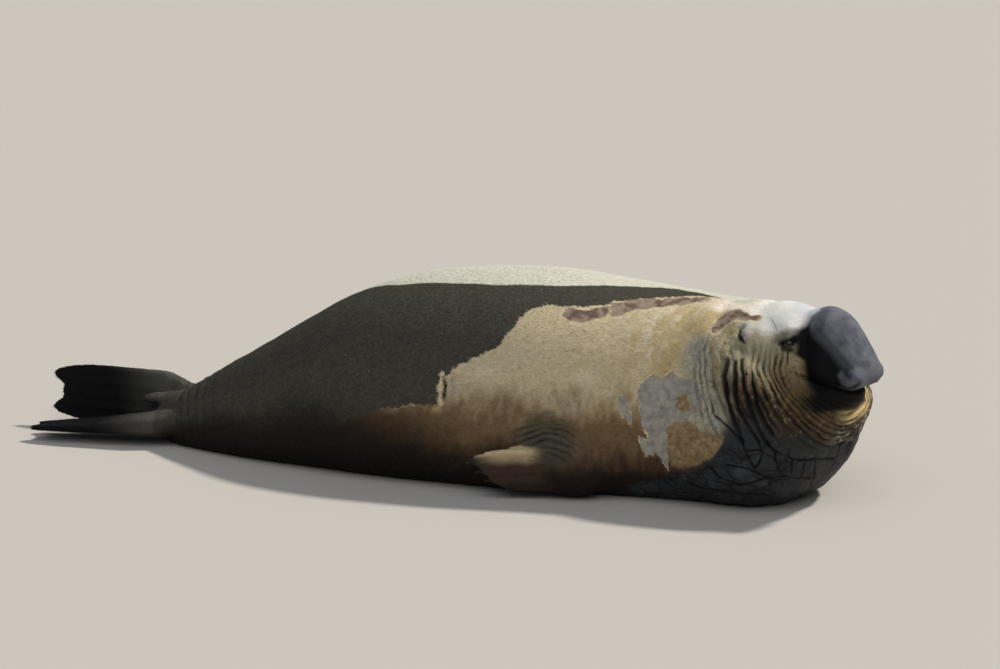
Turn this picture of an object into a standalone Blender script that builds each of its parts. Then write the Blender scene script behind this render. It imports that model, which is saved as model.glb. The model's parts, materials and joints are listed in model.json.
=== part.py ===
"""A life-size southern elephant seal bull, lying on its belly with its head raised and turned to its right.

Metres, +Z up. The seal faces +X, its right side faces -Y, and it rests on the floor, z = 0.
Trunk and head are modelled straight and alike on both sides, parted by thin cuts, and then bent
to the right at the neck. Flippers, tail, claws and eyes are pieces of their own set against them.
"""

import math

import bmesh
import bpy
import numpy as np
from mathutils import Matrix, Vector

# Clearance between pieces that touch, and how fine the fused body is
GAP = 0.0003
TRUNK_VOXEL = 0.014
TRUNK_TRIANGLES = 6400
SMOOTH_STEPS = 14

# The trunk's sections from hip to throat. Each runs from a point on the belly line to one on the
# back line, and is widest part of the way up. The belly points under the floor are cut off flat.
# Columns: back x, back z, belly x, belly z, half width, widest level
TRUNK_SECTIONS = (
    (-0.10, 0.130, -0.10, 0.040, 0.050, 0.50),
    (-0.04, 0.188, -0.04, 0.012, 0.105, 0.48),
    (0.06, 0.250, 0.06, -0.012, 0.165, 0.44),
    (0.20, 0.335, 0.20, -0.030, 0.235, 0.42),
    (0.45, 0.488, 0.45, -0.045, 0.335, 0.40),
    (0.80, 0.712, 0.80, -0.060, 0.450, 0.39),
    (1.20, 0.898, 1.20, -0.075, 0.545, 0.39),
    (1.60, 0.972, 1.60, -0.085, 0.595, 0.39),
    (2.00, 0.990, 2.00, -0.085, 0.605, 0.39),
    (2.35, 0.962, 2.38, -0.080, 0.575, 0.40),
    (2.62, 0.937, 2.74, -0.070, 0.530, 0.41),
    (2.72, 0.932, 3.04, -0.050, 0.490, 0.42),
    (2.78, 0.930, 3.30, 0.000, 0.462, 0.43),
    (2.82, 0.930, 3.44, 0.115, 0.443, 0.44),
    (2.85, 0.930, 3.53, 0.245, 0.418, 0.45),
    (2.88, 0.928, 3.59, 0.365, 0.390, 0.45),
    (2.93, 0.915, 3.64, 0.460, 0.358, 0.44),
    (3.00, 0.880, 3.61, 0.535, 0.295, 0.45),
    (3.08, 0.820, 3.51, 0.590, 0.180, 0.48),
)
TRUNK_RINGS = 90
TRUNK_SIDES = 72
BACK_ROUNDNESS = 2.15
BELLY_ROUNDNESS = 2.5

# The head's own axes, forward, left and up, start between the ears
HEAD_ORIGIN = (3.10, 0.0, 0.82)
NECK_TURN = math.radians(23)
TURN_FROM, TURN_TO = 2.30, 3.02

# Ellipsoids that the head is fused from, in the head's axes: forward, out to each side, up.
# A row with a side offset is made on both sides.
# Columns: forward, side, up, half length, half width, half height, tip down in degrees
HEAD_MASSES = (
    (0.00, 0.000, -0.045, 0.290, 0.215, 0.175, 0),
    (0.17, 0.000, -0.015, 0.240, 0.170, 0.166, 2),
    (0.34, 0.000, -0.090, 0.170, 0.140, 0.150, 12),
    (0.45, 0.080, -0.105, 0.100, 0.078, 0.085, 15),
    (0.18, 0.105, -0.140, 0.160, 0.115, 0.130, 10),
    (0.24, 0.110, 0.050, 0.080, 0.045, 0.042, 12),
    (0.41, 0.080, 0.025, 0.100, 0.062, 0.072, 20),
    (0.44, 0.000, -0.235, 0.150, 0.122, 0.072, 8),
    (0.575, 0.070, -0.132, 0.075, 0.062, 0.060, 30),
    (0.00, 0.000, -0.100, 0.340, 0.310, 0.222, 6),
    (0.05, 0.000, -0.200, 0.320, 0.310, 0.190, 12),
    (0.24, 0.000, -0.240, 0.250, 0.220, 0.120, 6),
)

# The proboscis: a cushion that rises behind the eyes, arches over the muzzle and hangs at its tip
# Columns: forward, up, half thickness, half width
PROBOSCIS_SECTIONS = (
    (0.290, 0.020, 0.055, 0.080),
    (0.340, 0.040, 0.108, 0.110),
    (0.405, 0.045, 0.121, 0.118),
    (0.472, 0.000, 0.116, 0.114),
    (0.532, -0.066, 0.107, 0.114),
    (0.572, -0.120, 0.092, 0.115),
    (0.586, -0.160, 0.062, 0.098),
    (0.584, -0.186, 0.030, 0.058),
)
PROBOSCIS_RINGS = 26
PROBOSCIS_SIDES = 32

EYE_PLACE = (0.255, 0.131, -0.004)
EYE_RADIUS = 0.034
EYE_SIDES = 18

# Muscle under the skin where each fore flipper leaves the chest
# Columns: x, side, z, half length, half width, half height, tip down in degrees
TRUNK_MASSES = ((2.20, 0.47, 0.19, 0.30, 0.16, 0.19, 0),)

EAR_PLACE = (0.070, 0.247, 0.020)
EAR_PIT = (0.016, 0.030, 0.010)
NOSTRIL_PLACE = (0.625, 0.062, -0.165)
NOSTRIL_PIT = (0.020, 0.024, 0.045)
MOUTH_PLACE = (0.465, 0.0, -0.188)
MOUTH_GROOVE = (0.160, 0.185, 0.006)
MOUTH_TIP = 14
MOUTH_CORNER = (0.330, 0.0, -0.155)

# Where the body is parted
HIP_END = 0.75
BELLY_END = 1.62
CHEST_END = 2.42
NAPE = (3.03, 0.0, 0.93)
THROAT = (3.50, 0.0, 0.50)
BRIDGE = (0.310, 0.0, 0.150)
LIP_FRONT = (0.480, 0.0, -0.190)

TAIL_SECTIONS = (
    (0.160, 0.235, 0.060, 0.045),
    (0.050, 0.215, 0.055, 0.036),
    (-0.050, 0.205, 0.045, 0.028),
    (-0.120, 0.200, 0.032, 0.020),
    (-0.150, 0.198, 0.014, 0.010),
)

# The paddles of the flippers: their lengths and half widths, half thicknesses, how much the
# middle toes fall short (lobe), how much each toe is shorter than the one before (slant), how far
# the web falls short between toes (notch) and how far the tip curls to the palm
FORE_FLIPPER = {
    "length": 0.52,
    "width": 0.115,
    "root": 0.090,
    "root_thick": 0.060,
    "tip_thick": 0.016,
    "lobe": 0.0,
    "slant": 0.20,
    "notch": 0.014,
    "curl": 0.035,
}
HIND_FLIPPER = {
    "length": 0.81,
    "width": 0.148,
    "root": 0.095,
    "root_thick": 0.070,
    "tip_thick": 0.013,
    "lobe": 0.08,
    "slant": 0.0,
    "notch": 0.014,
    "curl": 0.02,
}
HIND_FLIPPER_NEAR = {**HIND_FLIPPER, "length": 0.79, "width": 0.128, "root": 0.078, "root_thick": 0.080}
FLIPPER_RINGS = 11
FLIPPER_SIDES = 19
LOBE_AT = 0.58
TOE_STEP = 0.425
FORE_PLACE = ((2.27, 0.545, 0.158), (-0.50, 0.085, -0.015), (0, -0.22, -1))
HIND_PLACE_RIGHT = ((0.10, -0.092, 0.116), (-0.66, -0.07, -0.068), (0.0, 1.0, -0.10))
HIND_PLACE_LEFT = ((0.11, 0.080, 0.165), (-0.66, 0.06, 0.005), (0.0, 0.10, 1.0))

CLAW_LENGTH = 0.045
CLAW_RADIUS = 0.0085
CLAW_ROOT = 0.014

# Colour and roughness of each kind of surface
HIDE = ((0.29, 0.25, 0.18), 0.75)
BARE_SKIN = ((0.10, 0.10, 0.11), 0.60)
EYE = ((0.012, 0.010, 0.010), 0.06)
CLAW = ((0.060, 0.050, 0.045), 0.45)
SURFACES = {
    "hindquarters": HIDE,
    "abdomen": HIDE,
    "chest": HIDE,
    "neck": HIDE,
    "head": HIDE,
    "lower_jaw": HIDE,
    "eye": EYE,
    "claw": CLAW,
}
COLLECTION = "elephant seal"


def spline_through(rows, count):
    """A natural cubic spline through the rows, read at even steps of chord length."""
    rows = np.array(rows, float)
    steps = np.linalg.norm(np.diff(rows, axis=0), axis=1)
    knots = np.concatenate(([0.0], np.cumsum(steps)))
    last = len(rows) - 1
    matrix = np.eye(len(rows))
    target = np.zeros_like(rows)
    for i in range(1, last):
        before, after = steps[i - 1], steps[i]
        matrix[i, i - 1 : i + 2] = before, 2 * (before + after), after
        target[i] = 6 * ((rows[i + 1] - rows[i]) / after - (rows[i] - rows[i - 1]) / before)
    bends = np.linalg.solve(matrix, target)
    at = np.linspace(0.0, knots[-1], count)
    span = np.clip(np.searchsorted(knots, at, side="right") - 1, 0, last - 1)
    width = steps[span][:, None]
    right = (at - knots[span])[:, None] / width
    left = 1 - right
    straight = left * rows[span] + right * rows[span + 1]
    curved = (left**3 - left) * bends[span] + (right**3 - right) * bends[span + 1]
    return straight + curved * width**2 / 6


def rounded(angle, roundness):
    """Cosine and sine of a superellipse of that roundness, 2 being a plain ellipse."""
    c, s = np.cos(angle), np.sin(angle)
    power = 2 / roundness
    return np.sign(c) * np.abs(c) ** power, np.sign(s) * np.abs(s) ** power


def new_object(name, points, faces):
    mesh = bpy.data.meshes.new(name)
    mesh.from_pydata([tuple(map(float, p)) for p in points], [], faces)
    mesh.update()
    obj = bpy.data.objects.new(name, mesh)
    bpy.context.scene.collection.objects.link(obj)
    return obj


def loft(name, rings):
    """A closed skin over rings of the same even number of points, each end filled with a strip
    between the ring's first half and its second."""
    rings = np.array(rings, float)
    count, sides = rings.shape[:2]
    faces = []
    for i in range(count - 1):
        for k in range(sides):
            n = (k + 1) % sides
            faces.append((i * sides + k, i * sides + n, (i + 1) * sides + n, (i + 1) * sides + k))
    end = (count - 1) * sides
    for k in range(sides // 2 - 1):
        strip = (k, k + 1, sides - 2 - k, sides - 1 - k)
        faces.append(strip[::-1])
        faces.append(tuple(end + corner for corner in strip))
    return new_object(name, rings.reshape(-1, 3), faces)


def trunk_rings():
    angle = np.linspace(0, 2 * math.pi, TRUNK_SIDES, endpoint=False)
    back_half = np.sin(angle) > 0
    upper_c, upper_s = rounded(angle, BACK_ROUNDNESS)
    lower_c, lower_s = rounded(angle, BELLY_ROUNDNESS)
    across = np.where(back_half, upper_c, lower_c)
    rings = []
    for bx, bz, vx, vz, half_width, level in spline_through(TRUNK_SECTIONS, TRUNK_RINGS):
        rise = np.where(back_half, level + (1 - level) * upper_s, level + level * lower_s)
        x = vx + (bx - vx) * rise
        z = vz + (bz - vz) * rise
        rings.append(np.stack([x, half_width * across, z], axis=1)[::-1])
    return rings


def head_matrix():
    """From the head's axes (forward, left, up) to the straight model's."""
    return Matrix.Translation(HEAD_ORIGIN)


def ellipsoid(name, centre, radii, tip=0.0, segments=32):
    bm = bmesh.new()
    turn = Matrix.Rotation(math.radians(tip), 4, "Y")
    matrix = Matrix.Translation(centre) @ turn @ Matrix.Diagonal((*radii, 1))
    bmesh.ops.create_uvsphere(bm, u_segments=segments, v_segments=segments // 2, radius=1, matrix=matrix)
    mesh = bpy.data.meshes.new(name)
    bm.to_mesh(mesh)
    bm.free()
    obj = bpy.data.objects.new(name, mesh)
    bpy.context.scene.collection.objects.link(obj)
    return obj


def proboscis_rings():
    """Rings across the arched spine of the proboscis, in the head's axes."""
    sections = spline_through(PROBOSCIS_SECTIONS, PROBOSCIS_RINGS)
    along = np.gradient(sections[:, :2], axis=0)
    along /= np.linalg.norm(along, axis=1)[:, None]
    angle = np.linspace(0, 2 * math.pi, PROBOSCIS_SIDES, endpoint=False)
    c, s = rounded(angle, 2.0)
    rings = []
    for (f, u, thick, wide), (df, du) in zip(sections, along):
        forward = f - du * thick * s
        up = u + df * thick * s
        rings.append(np.stack([forward, wide * c, up], axis=1)[::-1])
    return rings


def join(name, objects):
    """One mesh of all the objects' faces, still loose from one another."""
    bm = bmesh.new()
    for obj in objects:
        start = len(bm.verts)
        bm.from_mesh(obj.data)
        bm.verts.ensure_lookup_table()
        bmesh.ops.transform(bm, matrix=obj.matrix_basis, verts=bm.verts[start:])
        bpy.data.objects.remove(obj)
    bmesh.ops.recalc_face_normals(bm, faces=bm.faces)
    mesh = bpy.data.meshes.new(name)
    bm.to_mesh(mesh)
    bm.free()
    obj = bpy.data.objects.new(name, mesh)
    bpy.context.scene.collection.objects.link(obj)
    return obj


def apply_modifiers(obj):
    graph = bpy.context.evaluated_depsgraph_get()
    mesh = bpy.data.meshes.new_from_object(obj.evaluated_get(graph))
    obj.modifiers.clear()
    obj.data = mesh
    return obj


def fuse(obj, voxel, smooth_steps, triangles=None):
    """One even skin over loose, overlapping bodies, with the creases between them rounded."""
    remesh = obj.modifiers.new("one skin", "REMESH")
    remesh.mode = "VOXEL"
    remesh.voxel_size = voxel
    smooth = obj.modifiers.new("fillet", "SMOOTH")
    smooth.factor = 0.5
    smooth.iterations = smooth_steps
    apply_modifiers(obj)
    if triangles:
        decimate = obj.modifiers.new("facets", "DECIMATE")
        decimate.ratio = triangles / (2 * len(obj.data.polygons))
        decimate.use_collapse_triangulate = True
        apply_modifiers(obj)
    return obj


def boolean(obj, other, operation, keep=False):
    change = obj.modifiers.new(operation, "BOOLEAN")
    change.operation = operation
    change.solver = "EXACT"
    change.object = other
    apply_modifiers(obj)
    if not keep:
        bpy.data.objects.remove(other)
    return obj


def copy_of(obj, name):
    twin = obj.copy()
    twin.data = obj.data.copy()
    twin.name = name
    bpy.context.scene.collection.objects.link(twin)
    return twin


def cut_off(obj, point, outward):
    """Removes all of obj on the outward side of a plane and closes the cut with a flat face."""
    bm = bmesh.new()
    bm.from_mesh(obj.data)
    cut = bmesh.ops.bisect_plane(
        bm,
        geom=bm.verts[:] + bm.edges[:] + bm.faces[:],
        plane_co=point,
        plane_no=outward,
        clear_outer=True,
        dist=1e-6,
    )
    rim = [e for e in cut["geom_cut"] if isinstance(e, bmesh.types.BMEdge) and e.is_boundary]
    caps = bmesh.ops.holes_fill(bm, edges=rim, sides=0)["faces"]
    bmesh.ops.triangulate(bm, faces=caps)
    bmesh.ops.recalc_face_normals(bm, faces=bm.faces)
    bm.to_mesh(obj.data)
    bm.free()
    return obj


def part_by_plane(obj, name_before, name_beyond, point, normal):
    """Two pieces either side of a plane, GAP apart. The normal points to the second one."""
    point, normal = Vector(point), Vector(normal).normalized()
    beyond = copy_of(obj, name_beyond)
    cut_off(beyond, point + normal * GAP / 2, -normal)
    obj.name = name_before
    cut_off(obj, point - normal * GAP / 2, normal)
    return obj, beyond


def in_head(forward, side, up):
    return head_matrix() @ Vector((forward, side, up))


def fused_body():
    """Trunk, shoulders, head and proboscis as one straight closed skin, cut flat at the floor."""
    head = head_matrix()
    loose = [loft("trunk", trunk_rings())]
    for forward, side, up, length, width, height, tip in HEAD_MASSES:
        for way in (1, -1) if side else (1,):
            mass = ellipsoid("mass", (forward, way * side, up), (length, width, height), tip)
            mass.matrix_basis = head
            loose.append(mass)
    for x, side, z, length, width, height, tip in TRUNK_MASSES:
        for way in (1, -1) if side else (1,):
            loose.append(ellipsoid("mass", (x, way * side, z), (length, width, height), tip))
    proboscis = loft("proboscis", proboscis_rings())
    proboscis.matrix_basis = head
    loose.append(proboscis)
    return join("body", loose)


def bent(points):
    """Turns the neck: straight up to TURN_FROM, an arc to TURN_TO, then straight again."""
    points = np.array(points, float)
    length = TURN_TO - TURN_FROM
    radius = length / NECK_TURN
    along = np.clip(points[:, 0] - TURN_FROM, 0, length)
    angle = along / radius
    beyond = points[:, 0] - TURN_FROM - along
    out = points.copy()
    out[:, 0] = TURN_FROM + radius * np.sin(angle) + points[:, 1] * np.sin(angle) + beyond * np.cos(angle)
    out[:, 1] = -radius * (1 - np.cos(angle)) + points[:, 1] * np.cos(angle) - beyond * np.sin(angle)
    return out


def bend(obj):
    mesh = obj.data
    points = np.empty(len(mesh.vertices) * 3)
    mesh.vertices.foreach_get("co", points)
    mesh.vertices.foreach_set("co", bent(points.reshape(-1, 3)).ravel())
    mesh.update()
    return obj


def head_detail(head, jaw, proboscis):
    """Lids, ear pits, nostrils and the line of the mouth, on both sides."""
    matrix = head_matrix()
    for way in (1, -1):
        boolean(head, lid_ring(way), "UNION")
    cuts = [(MOUTH_PLACE, MOUTH_GROOVE, MOUTH_TIP, (head, jaw, proboscis))]
    for way in (1, -1):
        for (forward, side, up), radii, tip, cut in (
            (EYE_PLACE, (EYE_RADIUS + GAP,) * 3, 0, (head,)),
            (EAR_PLACE, EAR_PIT, 20, (head,)),
            (NOSTRIL_PLACE, NOSTRIL_PIT, 50, (proboscis,)),
        ):
            cuts.append(((forward, way * side, up), radii, tip, cut))
    for place, radii, tip, cut in cuts:
        cutter = ellipsoid("cutter", place, radii, tip, EYE_SIDES)
        cutter.matrix_basis = matrix
        for piece in cut:
            boolean(piece, cutter, "DIFFERENCE", keep=True)
        bpy.data.objects.remove(cutter)


def lid_ring(way):
    """An almond of skin round the globe, its long axis level, facing out and a little forward and up."""
    matrix = head_matrix() @ Matrix.Translation((EYE_PLACE[0], way * EYE_PLACE[1], EYE_PLACE[2]))
    outward = Vector((0.42, way, 0.16)).normalized()
    level = Vector((1, 0, 0)).cross(outward).cross(outward).normalized()
    upward = outward.cross(level)
    rings = []
    for a in np.linspace(0, 2 * math.pi, 20, endpoint=False):
        centre = level * 0.036 * math.cos(a) + upward * 0.021 * math.sin(a) + outward * 0.020
        across = (level * math.cos(a) + upward * math.sin(a)).normalized()
        ring = []
        for b in np.linspace(0, 2 * math.pi, 8, endpoint=False):
            ring.append(matrix @ (centre + 0.0095 * (across * math.cos(b) + outward * math.sin(b))))
        rings.append(ring)
    return hoop("lids", rings)


def hoop(name, rings):
    """A closed tube whose last ring meets its first."""
    count, sides = len(rings), len(rings[0])
    faces = []
    for i in range(count):
        n = (i + 1) % count
        for k in range(sides):
            m = (k + 1) % sides
            faces.append((i * sides + k, i * sides + m, n * sides + m, n * sides + k))
    return facing_out(new_object(name, [p for ring in rings for p in ring], faces))


def facing_out(obj):
    bm = bmesh.new()
    bm.from_mesh(obj.data)
    bmesh.ops.recalc_face_normals(bm, faces=bm.faces)
    if bm.calc_volume(signed=True) < 0:
        bmesh.ops.reverse_faces(bm, faces=bm.faces)
    bm.to_mesh(obj.data)
    bm.free()
    return obj


def toe_reach(across, sizes):
    """How far the paddle's rim lies from its root, at a place across it from -1 to 1."""
    beyond = np.clip(np.abs(across) - LOBE_AT, 0, 1)
    within = np.clip(np.abs(across) / LOBE_AT, 0, 1)
    between = 0.5 - 0.5 * np.cos(across * 2 * math.pi / TOE_STEP)
    shape = 1 - sizes["lobe"] * (1 - within**2) - 1.6 * beyond**2
    shape = shape - sizes["slant"] * np.clip(across + 0.5, 0, 2)
    return sizes["length"] * shape - sizes["notch"] * between


def toe_spread(t, sizes):
    """Half the paddle's width, part of the way t along it."""
    widening = min(1, t / 0.35)
    return sizes["root"] + (sizes["width"] - sizes["root"]) * widening * widening * (3 - 2 * widening)


def toe_dip(t, sizes):
    """How far the paddle has curled to its palm, part of the way t along it."""
    return -sizes["curl"] * t**2


def flipper_rings(sizes):
    """A five-toed paddle: forward along its length, then across it, then through it."""
    rings = []
    across = np.sin(np.linspace(-math.pi / 2, math.pi / 2, FLIPPER_SIDES))
    between = 0.5 - 0.5 * np.cos(across * 2 * math.pi / TOE_STEP)
    round_edge = np.sqrt(np.clip(1 - across**4, 0, 1))
    for t in np.linspace(0, 1, FLIPPER_RINGS):
        thick = sizes["root_thick"] + (sizes["tip_thick"] - sizes["root_thick"]) * t**0.7
        webbing = 1 - 0.25 * min(1, max(0, (t - 0.15) / 0.4)) * between
        half = thick * (0.22 + 0.78 * round_edge) * webbing
        if t == 1:
            half = half * 0.5
        along = toe_reach(across, sizes) * t
        side = toe_spread(t, sizes) * across
        dip = toe_dip(t, sizes)
        top = np.stack([along, side, dip + half], axis=1)
        bottom = np.stack([along, side, dip - half], axis=1)[::-1]
        rings.append(np.concatenate([top, bottom]))
    return rings


def placed(obj, origin, forward, across):
    """Moves a flipper so that its root is at origin and it points forward, its width along across."""
    forward = Vector(forward).normalized()
    across = Vector(across)
    across = (across - forward * across.dot(forward)).normalized()
    through = forward.cross(across)
    matrix = Matrix.Identity(4)
    for i, axis in enumerate((forward, across, through)):
        for j in range(3):
            matrix[j][i] = axis[j]
    matrix.translation = origin
    obj.data.transform(matrix)
    obj.data.update()
    return obj


def claw_rings(sizes, across):
    """A short claw at a toe's end, bent to the palm at its tip, in the paddle's own axes."""
    start = toe_reach(across, sizes) - CLAW_ROOT
    side = toe_spread(1, sizes) * across
    rings = []
    for t in np.linspace(0, 1, 5):
        radius = CLAW_RADIUS * (1 - t) ** 0.6 + 0.0008
        centre = toe_dip(1, sizes) + 0.003 - 0.012 * t**2
        ring = []
        for b in np.linspace(0, 2 * math.pi, 8, endpoint=False):
            ring.append((start + CLAW_LENGTH * t, side + 0.75 * radius * math.cos(b), centre + radius * math.sin(b)))
        rings.append(ring)
    return rings


def swell(obj, distance):
    """Moves every point of a closed mesh out along its normal."""
    bm = bmesh.new()
    bm.from_mesh(obj.data)
    bm.normal_update()
    for vert in bm.verts:
        vert.co += vert.normal * distance
    bm.to_mesh(obj.data)
    bm.free()
    return obj


def head_box(name, grow):
    """A block that holds the lower jaw: under the mouth's plane and in front of its corner."""
    size = 0.8
    bm = bmesh.new()
    bmesh.ops.create_cube(bm, size=size)
    bmesh.ops.translate(bm, verts=bm.verts, vec=(size / 2 - grow, 0, -size / 2 + grow))
    obj_mesh = bpy.data.meshes.new(name)
    bm.to_mesh(obj_mesh)
    bm.free()
    obj = bpy.data.objects.new(name, obj_mesh)
    bpy.context.scene.collection.objects.link(obj)
    tilt = Matrix.Rotation(math.radians(MOUTH_TIP), 4, "Y")
    obj.data.transform(head_matrix() @ Matrix.Translation(MOUTH_CORNER) @ tilt)
    return obj


def parted(body):
    """The body's pieces from hip to nose, in the straight pose."""
    pieces = []
    rest = body
    for name, x in (("hindquarters", HIP_END), ("abdomen", BELLY_END), ("chest", CHEST_END)):
        piece, rest = part_by_plane(rest, name, "rest", (x, 0, 0), (1, 0, 0))
        pieces.append(piece)
    nape, throat = Vector(NAPE), Vector(THROAT)
    along = throat - nape
    neck, head = part_by_plane(rest, "neck", "head", nape, (-along.z, 0, along.x))
    jaw = copy_of(head, "lower_jaw")
    boolean(jaw, head_box("jaw block", -GAP / 2), "INTERSECT")
    boolean(head, head_box("jaw block", GAP / 2), "DIFFERENCE")
    bridge, lip = in_head(*BRIDGE), in_head(*LIP_FRONT)
    along = lip - bridge
    head, proboscis = part_by_plane(head, "head", "proboscis", bridge, (-along.z, 0, along.x))
    head_detail(head, jaw, proboscis)
    return [*pieces, neck, head, jaw, proboscis]


def paddle_loft(name, rings, place):
    """A loft from a paddle's own axes, carried to the paddle's root."""
    return facing_out(placed(loft(name, rings), *place))


def fore_flipper_pair():
    """Both fore flippers, and the five claws of each set in hollows at its toes."""
    paddle = paddle_loft("fore_flipper", flipper_rings(FORE_FLIPPER), FORE_PLACE)
    claws = []
    for toe in range(5):
        across = (toe - 2) * TOE_STEP
        claw = paddle_loft(f"claw_{toe + 1}", claw_rings(FORE_FLIPPER, across), FORE_PLACE)
        boolean(paddle, swell(copy_of(claw, "hollow"), 3 * GAP), "DIFFERENCE")
        claws.append(claw)
    flippers, all_claws = [], []
    for side, way in (("right", -1), ("left", 1)):
        mirror = Matrix.Diagonal((1, way, 1, 1))
        for obj, made in [(paddle, flippers)] + [(claw, all_claws) for claw in claws]:
            stem, _, number = obj.name.partition("_")
            name = f"{obj.name}_{side}" if number == "flipper" else f"{stem}_{side}_{number}"
            twin = copy_of(obj, name)
            twin.data.transform(mirror)
            made.append(facing_out(twin))
    for obj in [paddle, *claws]:
        bpy.data.objects.remove(obj)
    return flippers, all_claws


def tail_piece():
    rings = []
    angle = np.linspace(0, 2 * math.pi, 20, endpoint=False)
    for x, z, wide, high in spline_through(TAIL_SECTIONS, 10):
        rings.append(np.stack([np.full(20, x), wide * np.cos(angle), z + high * np.sin(angle)], axis=1))
    return facing_out(loft("tail", rings))


def main():
    for obj in list(bpy.data.objects):
        bpy.data.objects.remove(obj)
    body = fuse(fused_body(), TRUNK_VOXEL, SMOOTH_STEPS, TRUNK_TRIANGLES)
    cut_off(body, (0, 0, 0), (0, 0, -1))
    around = swell(bend(copy_of(body, "around")), GAP)
    pieces = [bend(piece) for piece in parted(body)]
    fore_flippers, claws = fore_flipper_pair()
    limbs = [tail_piece(), *fore_flippers]
    limbs.append(paddle_loft("hind_flipper_right", flipper_rings(HIND_FLIPPER_NEAR), HIND_PLACE_RIGHT))
    limbs.append(paddle_loft("hind_flipper_left", flipper_rings(HIND_FLIPPER), HIND_PLACE_LEFT))
    for limb in limbs:
        boolean(limb, around, "DIFFERENCE", keep=True)
        keep_largest(limb)
        facing_out(cut_off(limb, (0, 0, 0), (0, 0, -1)))
    bpy.data.objects.remove(around)
    for limb in limbs[3:]:
        boolean(limb, swell(copy_of(limbs[0], "around the tail"), GAP), "DIFFERENCE")
    eyes = []
    for side, way in (("right", -1), ("left", 1)):
        eye = ellipsoid(f"eye_{side}", (EYE_PLACE[0], way * EYE_PLACE[1], EYE_PLACE[2]), (EYE_RADIUS,) * 3, 0, EYE_SIDES)
        eye.data.transform(head_matrix())
        eyes.append(bend(eye))
    seal = [*pieces, *limbs, *claws, *eyes]
    recentre(seal)
    collect(seal)


def collect(objects):
    """Gives each piece its own material and puts them all in the seal's collection."""
    collection = bpy.data.collections.new(COLLECTION)
    bpy.context.scene.collection.children.link(collection)
    for obj in objects:
        stem = obj.name.partition("_")[0]
        colour, roughness = SURFACES.get(obj.name) or SURFACES.get(stem) or BARE_SKIN
        material = bpy.data.materials.new(obj.name)
        material.use_nodes = True
        shader = material.node_tree.nodes["Principled BSDF"]
        shader.inputs["Base Color"].default_value = (*colour, 1)
        shader.inputs["Roughness"].default_value = roughness
        shader.inputs["Metallic"].default_value = 0
        obj.data.materials.clear()
        obj.data.materials.append(material)
        bpy.context.scene.collection.objects.unlink(obj)
        collection.objects.link(obj)
        obj.data.shade_smooth()
        obj.data.set_sharp_from_angle(angle=math.radians(50))


def keep_largest(obj):
    """Drops all but the largest loose part, as when a cut leaves a root inside the body."""
    bm = bmesh.new()
    bm.from_mesh(obj.data)
    left = set(bm.verts)
    groups = []
    while left:
        stack = [left.pop()]
        group = set(stack)
        while stack:
            for edge in stack.pop().link_edges:
                for vert in edge.verts:
                    if vert not in group:
                        group.add(vert)
                        stack.append(vert)
        left -= group
        groups.append(group)
    groups.sort(key=len)
    for group in groups[:-1]:
        bmesh.ops.delete(bm, geom=list(group), context="VERTS")
    bm.to_mesh(obj.data)
    bm.free()
    return obj


def recentre(objects):
    """Puts the middle of the seal's box at the origin and leaves the floor where it is."""
    corners = np.array([tuple(v.co) for obj in objects for v in obj.data.vertices])
    low, high = corners.min(axis=0), corners.max(axis=0)
    middle = (low + high) / 2
    for obj in objects:
        obj.data.transform(Matrix.Translation((-middle[0], -middle[1], 0)))
        obj.data.update()


if __name__ == "__main__":
    main()
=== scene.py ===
"""The looks of a life-size southern elephant seal bull in mid-moult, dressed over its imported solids.

One skin is fused from trunk, head, proboscis and flippers, then folded, cracked and coloured, and short
tufts stand on it. Lengths are in metres. In the straight pose, which holds all forms and markings, the
neck isn't turned, the root of the tail is at x = 0 and the seal's right side is at negative y.
"""

import json
import math

import bmesh
import bpy
import numpy as np
from mathutils import Matrix, Vector

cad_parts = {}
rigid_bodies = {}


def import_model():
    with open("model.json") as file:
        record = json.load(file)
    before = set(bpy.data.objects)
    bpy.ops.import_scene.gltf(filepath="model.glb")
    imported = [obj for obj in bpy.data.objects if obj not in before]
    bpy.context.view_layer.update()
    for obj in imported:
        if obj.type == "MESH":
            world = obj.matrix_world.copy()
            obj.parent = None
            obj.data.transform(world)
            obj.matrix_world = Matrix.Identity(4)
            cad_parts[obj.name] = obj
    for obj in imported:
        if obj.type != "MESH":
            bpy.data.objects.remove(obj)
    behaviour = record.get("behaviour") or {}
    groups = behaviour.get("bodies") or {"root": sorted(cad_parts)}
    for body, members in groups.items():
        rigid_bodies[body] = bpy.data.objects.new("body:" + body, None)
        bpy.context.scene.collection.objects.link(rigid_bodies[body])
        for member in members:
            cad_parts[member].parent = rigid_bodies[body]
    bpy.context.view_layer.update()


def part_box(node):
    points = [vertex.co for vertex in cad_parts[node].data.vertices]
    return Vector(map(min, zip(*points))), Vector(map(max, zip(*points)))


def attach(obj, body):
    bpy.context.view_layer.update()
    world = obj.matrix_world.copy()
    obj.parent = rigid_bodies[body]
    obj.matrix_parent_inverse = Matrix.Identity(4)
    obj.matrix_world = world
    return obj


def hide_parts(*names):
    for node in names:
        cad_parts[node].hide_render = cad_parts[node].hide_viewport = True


# Where the seal stands in the frame
GAP = 0.0003
HIP_END = 0.75
FLESH = (
    "hindquarters",
    "abdomen",
    "chest",
    "neck",
    "head",
    "lower_jaw",
    "proboscis",
    "tail",
    "fore_flipper_right",
    "fore_flipper_left",
    "hind_flipper_right",
    "hind_flipper_left",
)

# The photograph's camera
CAMERA_AZIMUTH = math.radians(17)
CAMERA_ELEVATION = math.radians(13.5)
CAMERA_DISTANCE = 26.0
CAMERA_AIM = (1.71, 0.0, 0.653)
PICTURE_WIDTH_PX = 1000
PX_PER_METRE = 205
SENSOR_MM = 36

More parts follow.
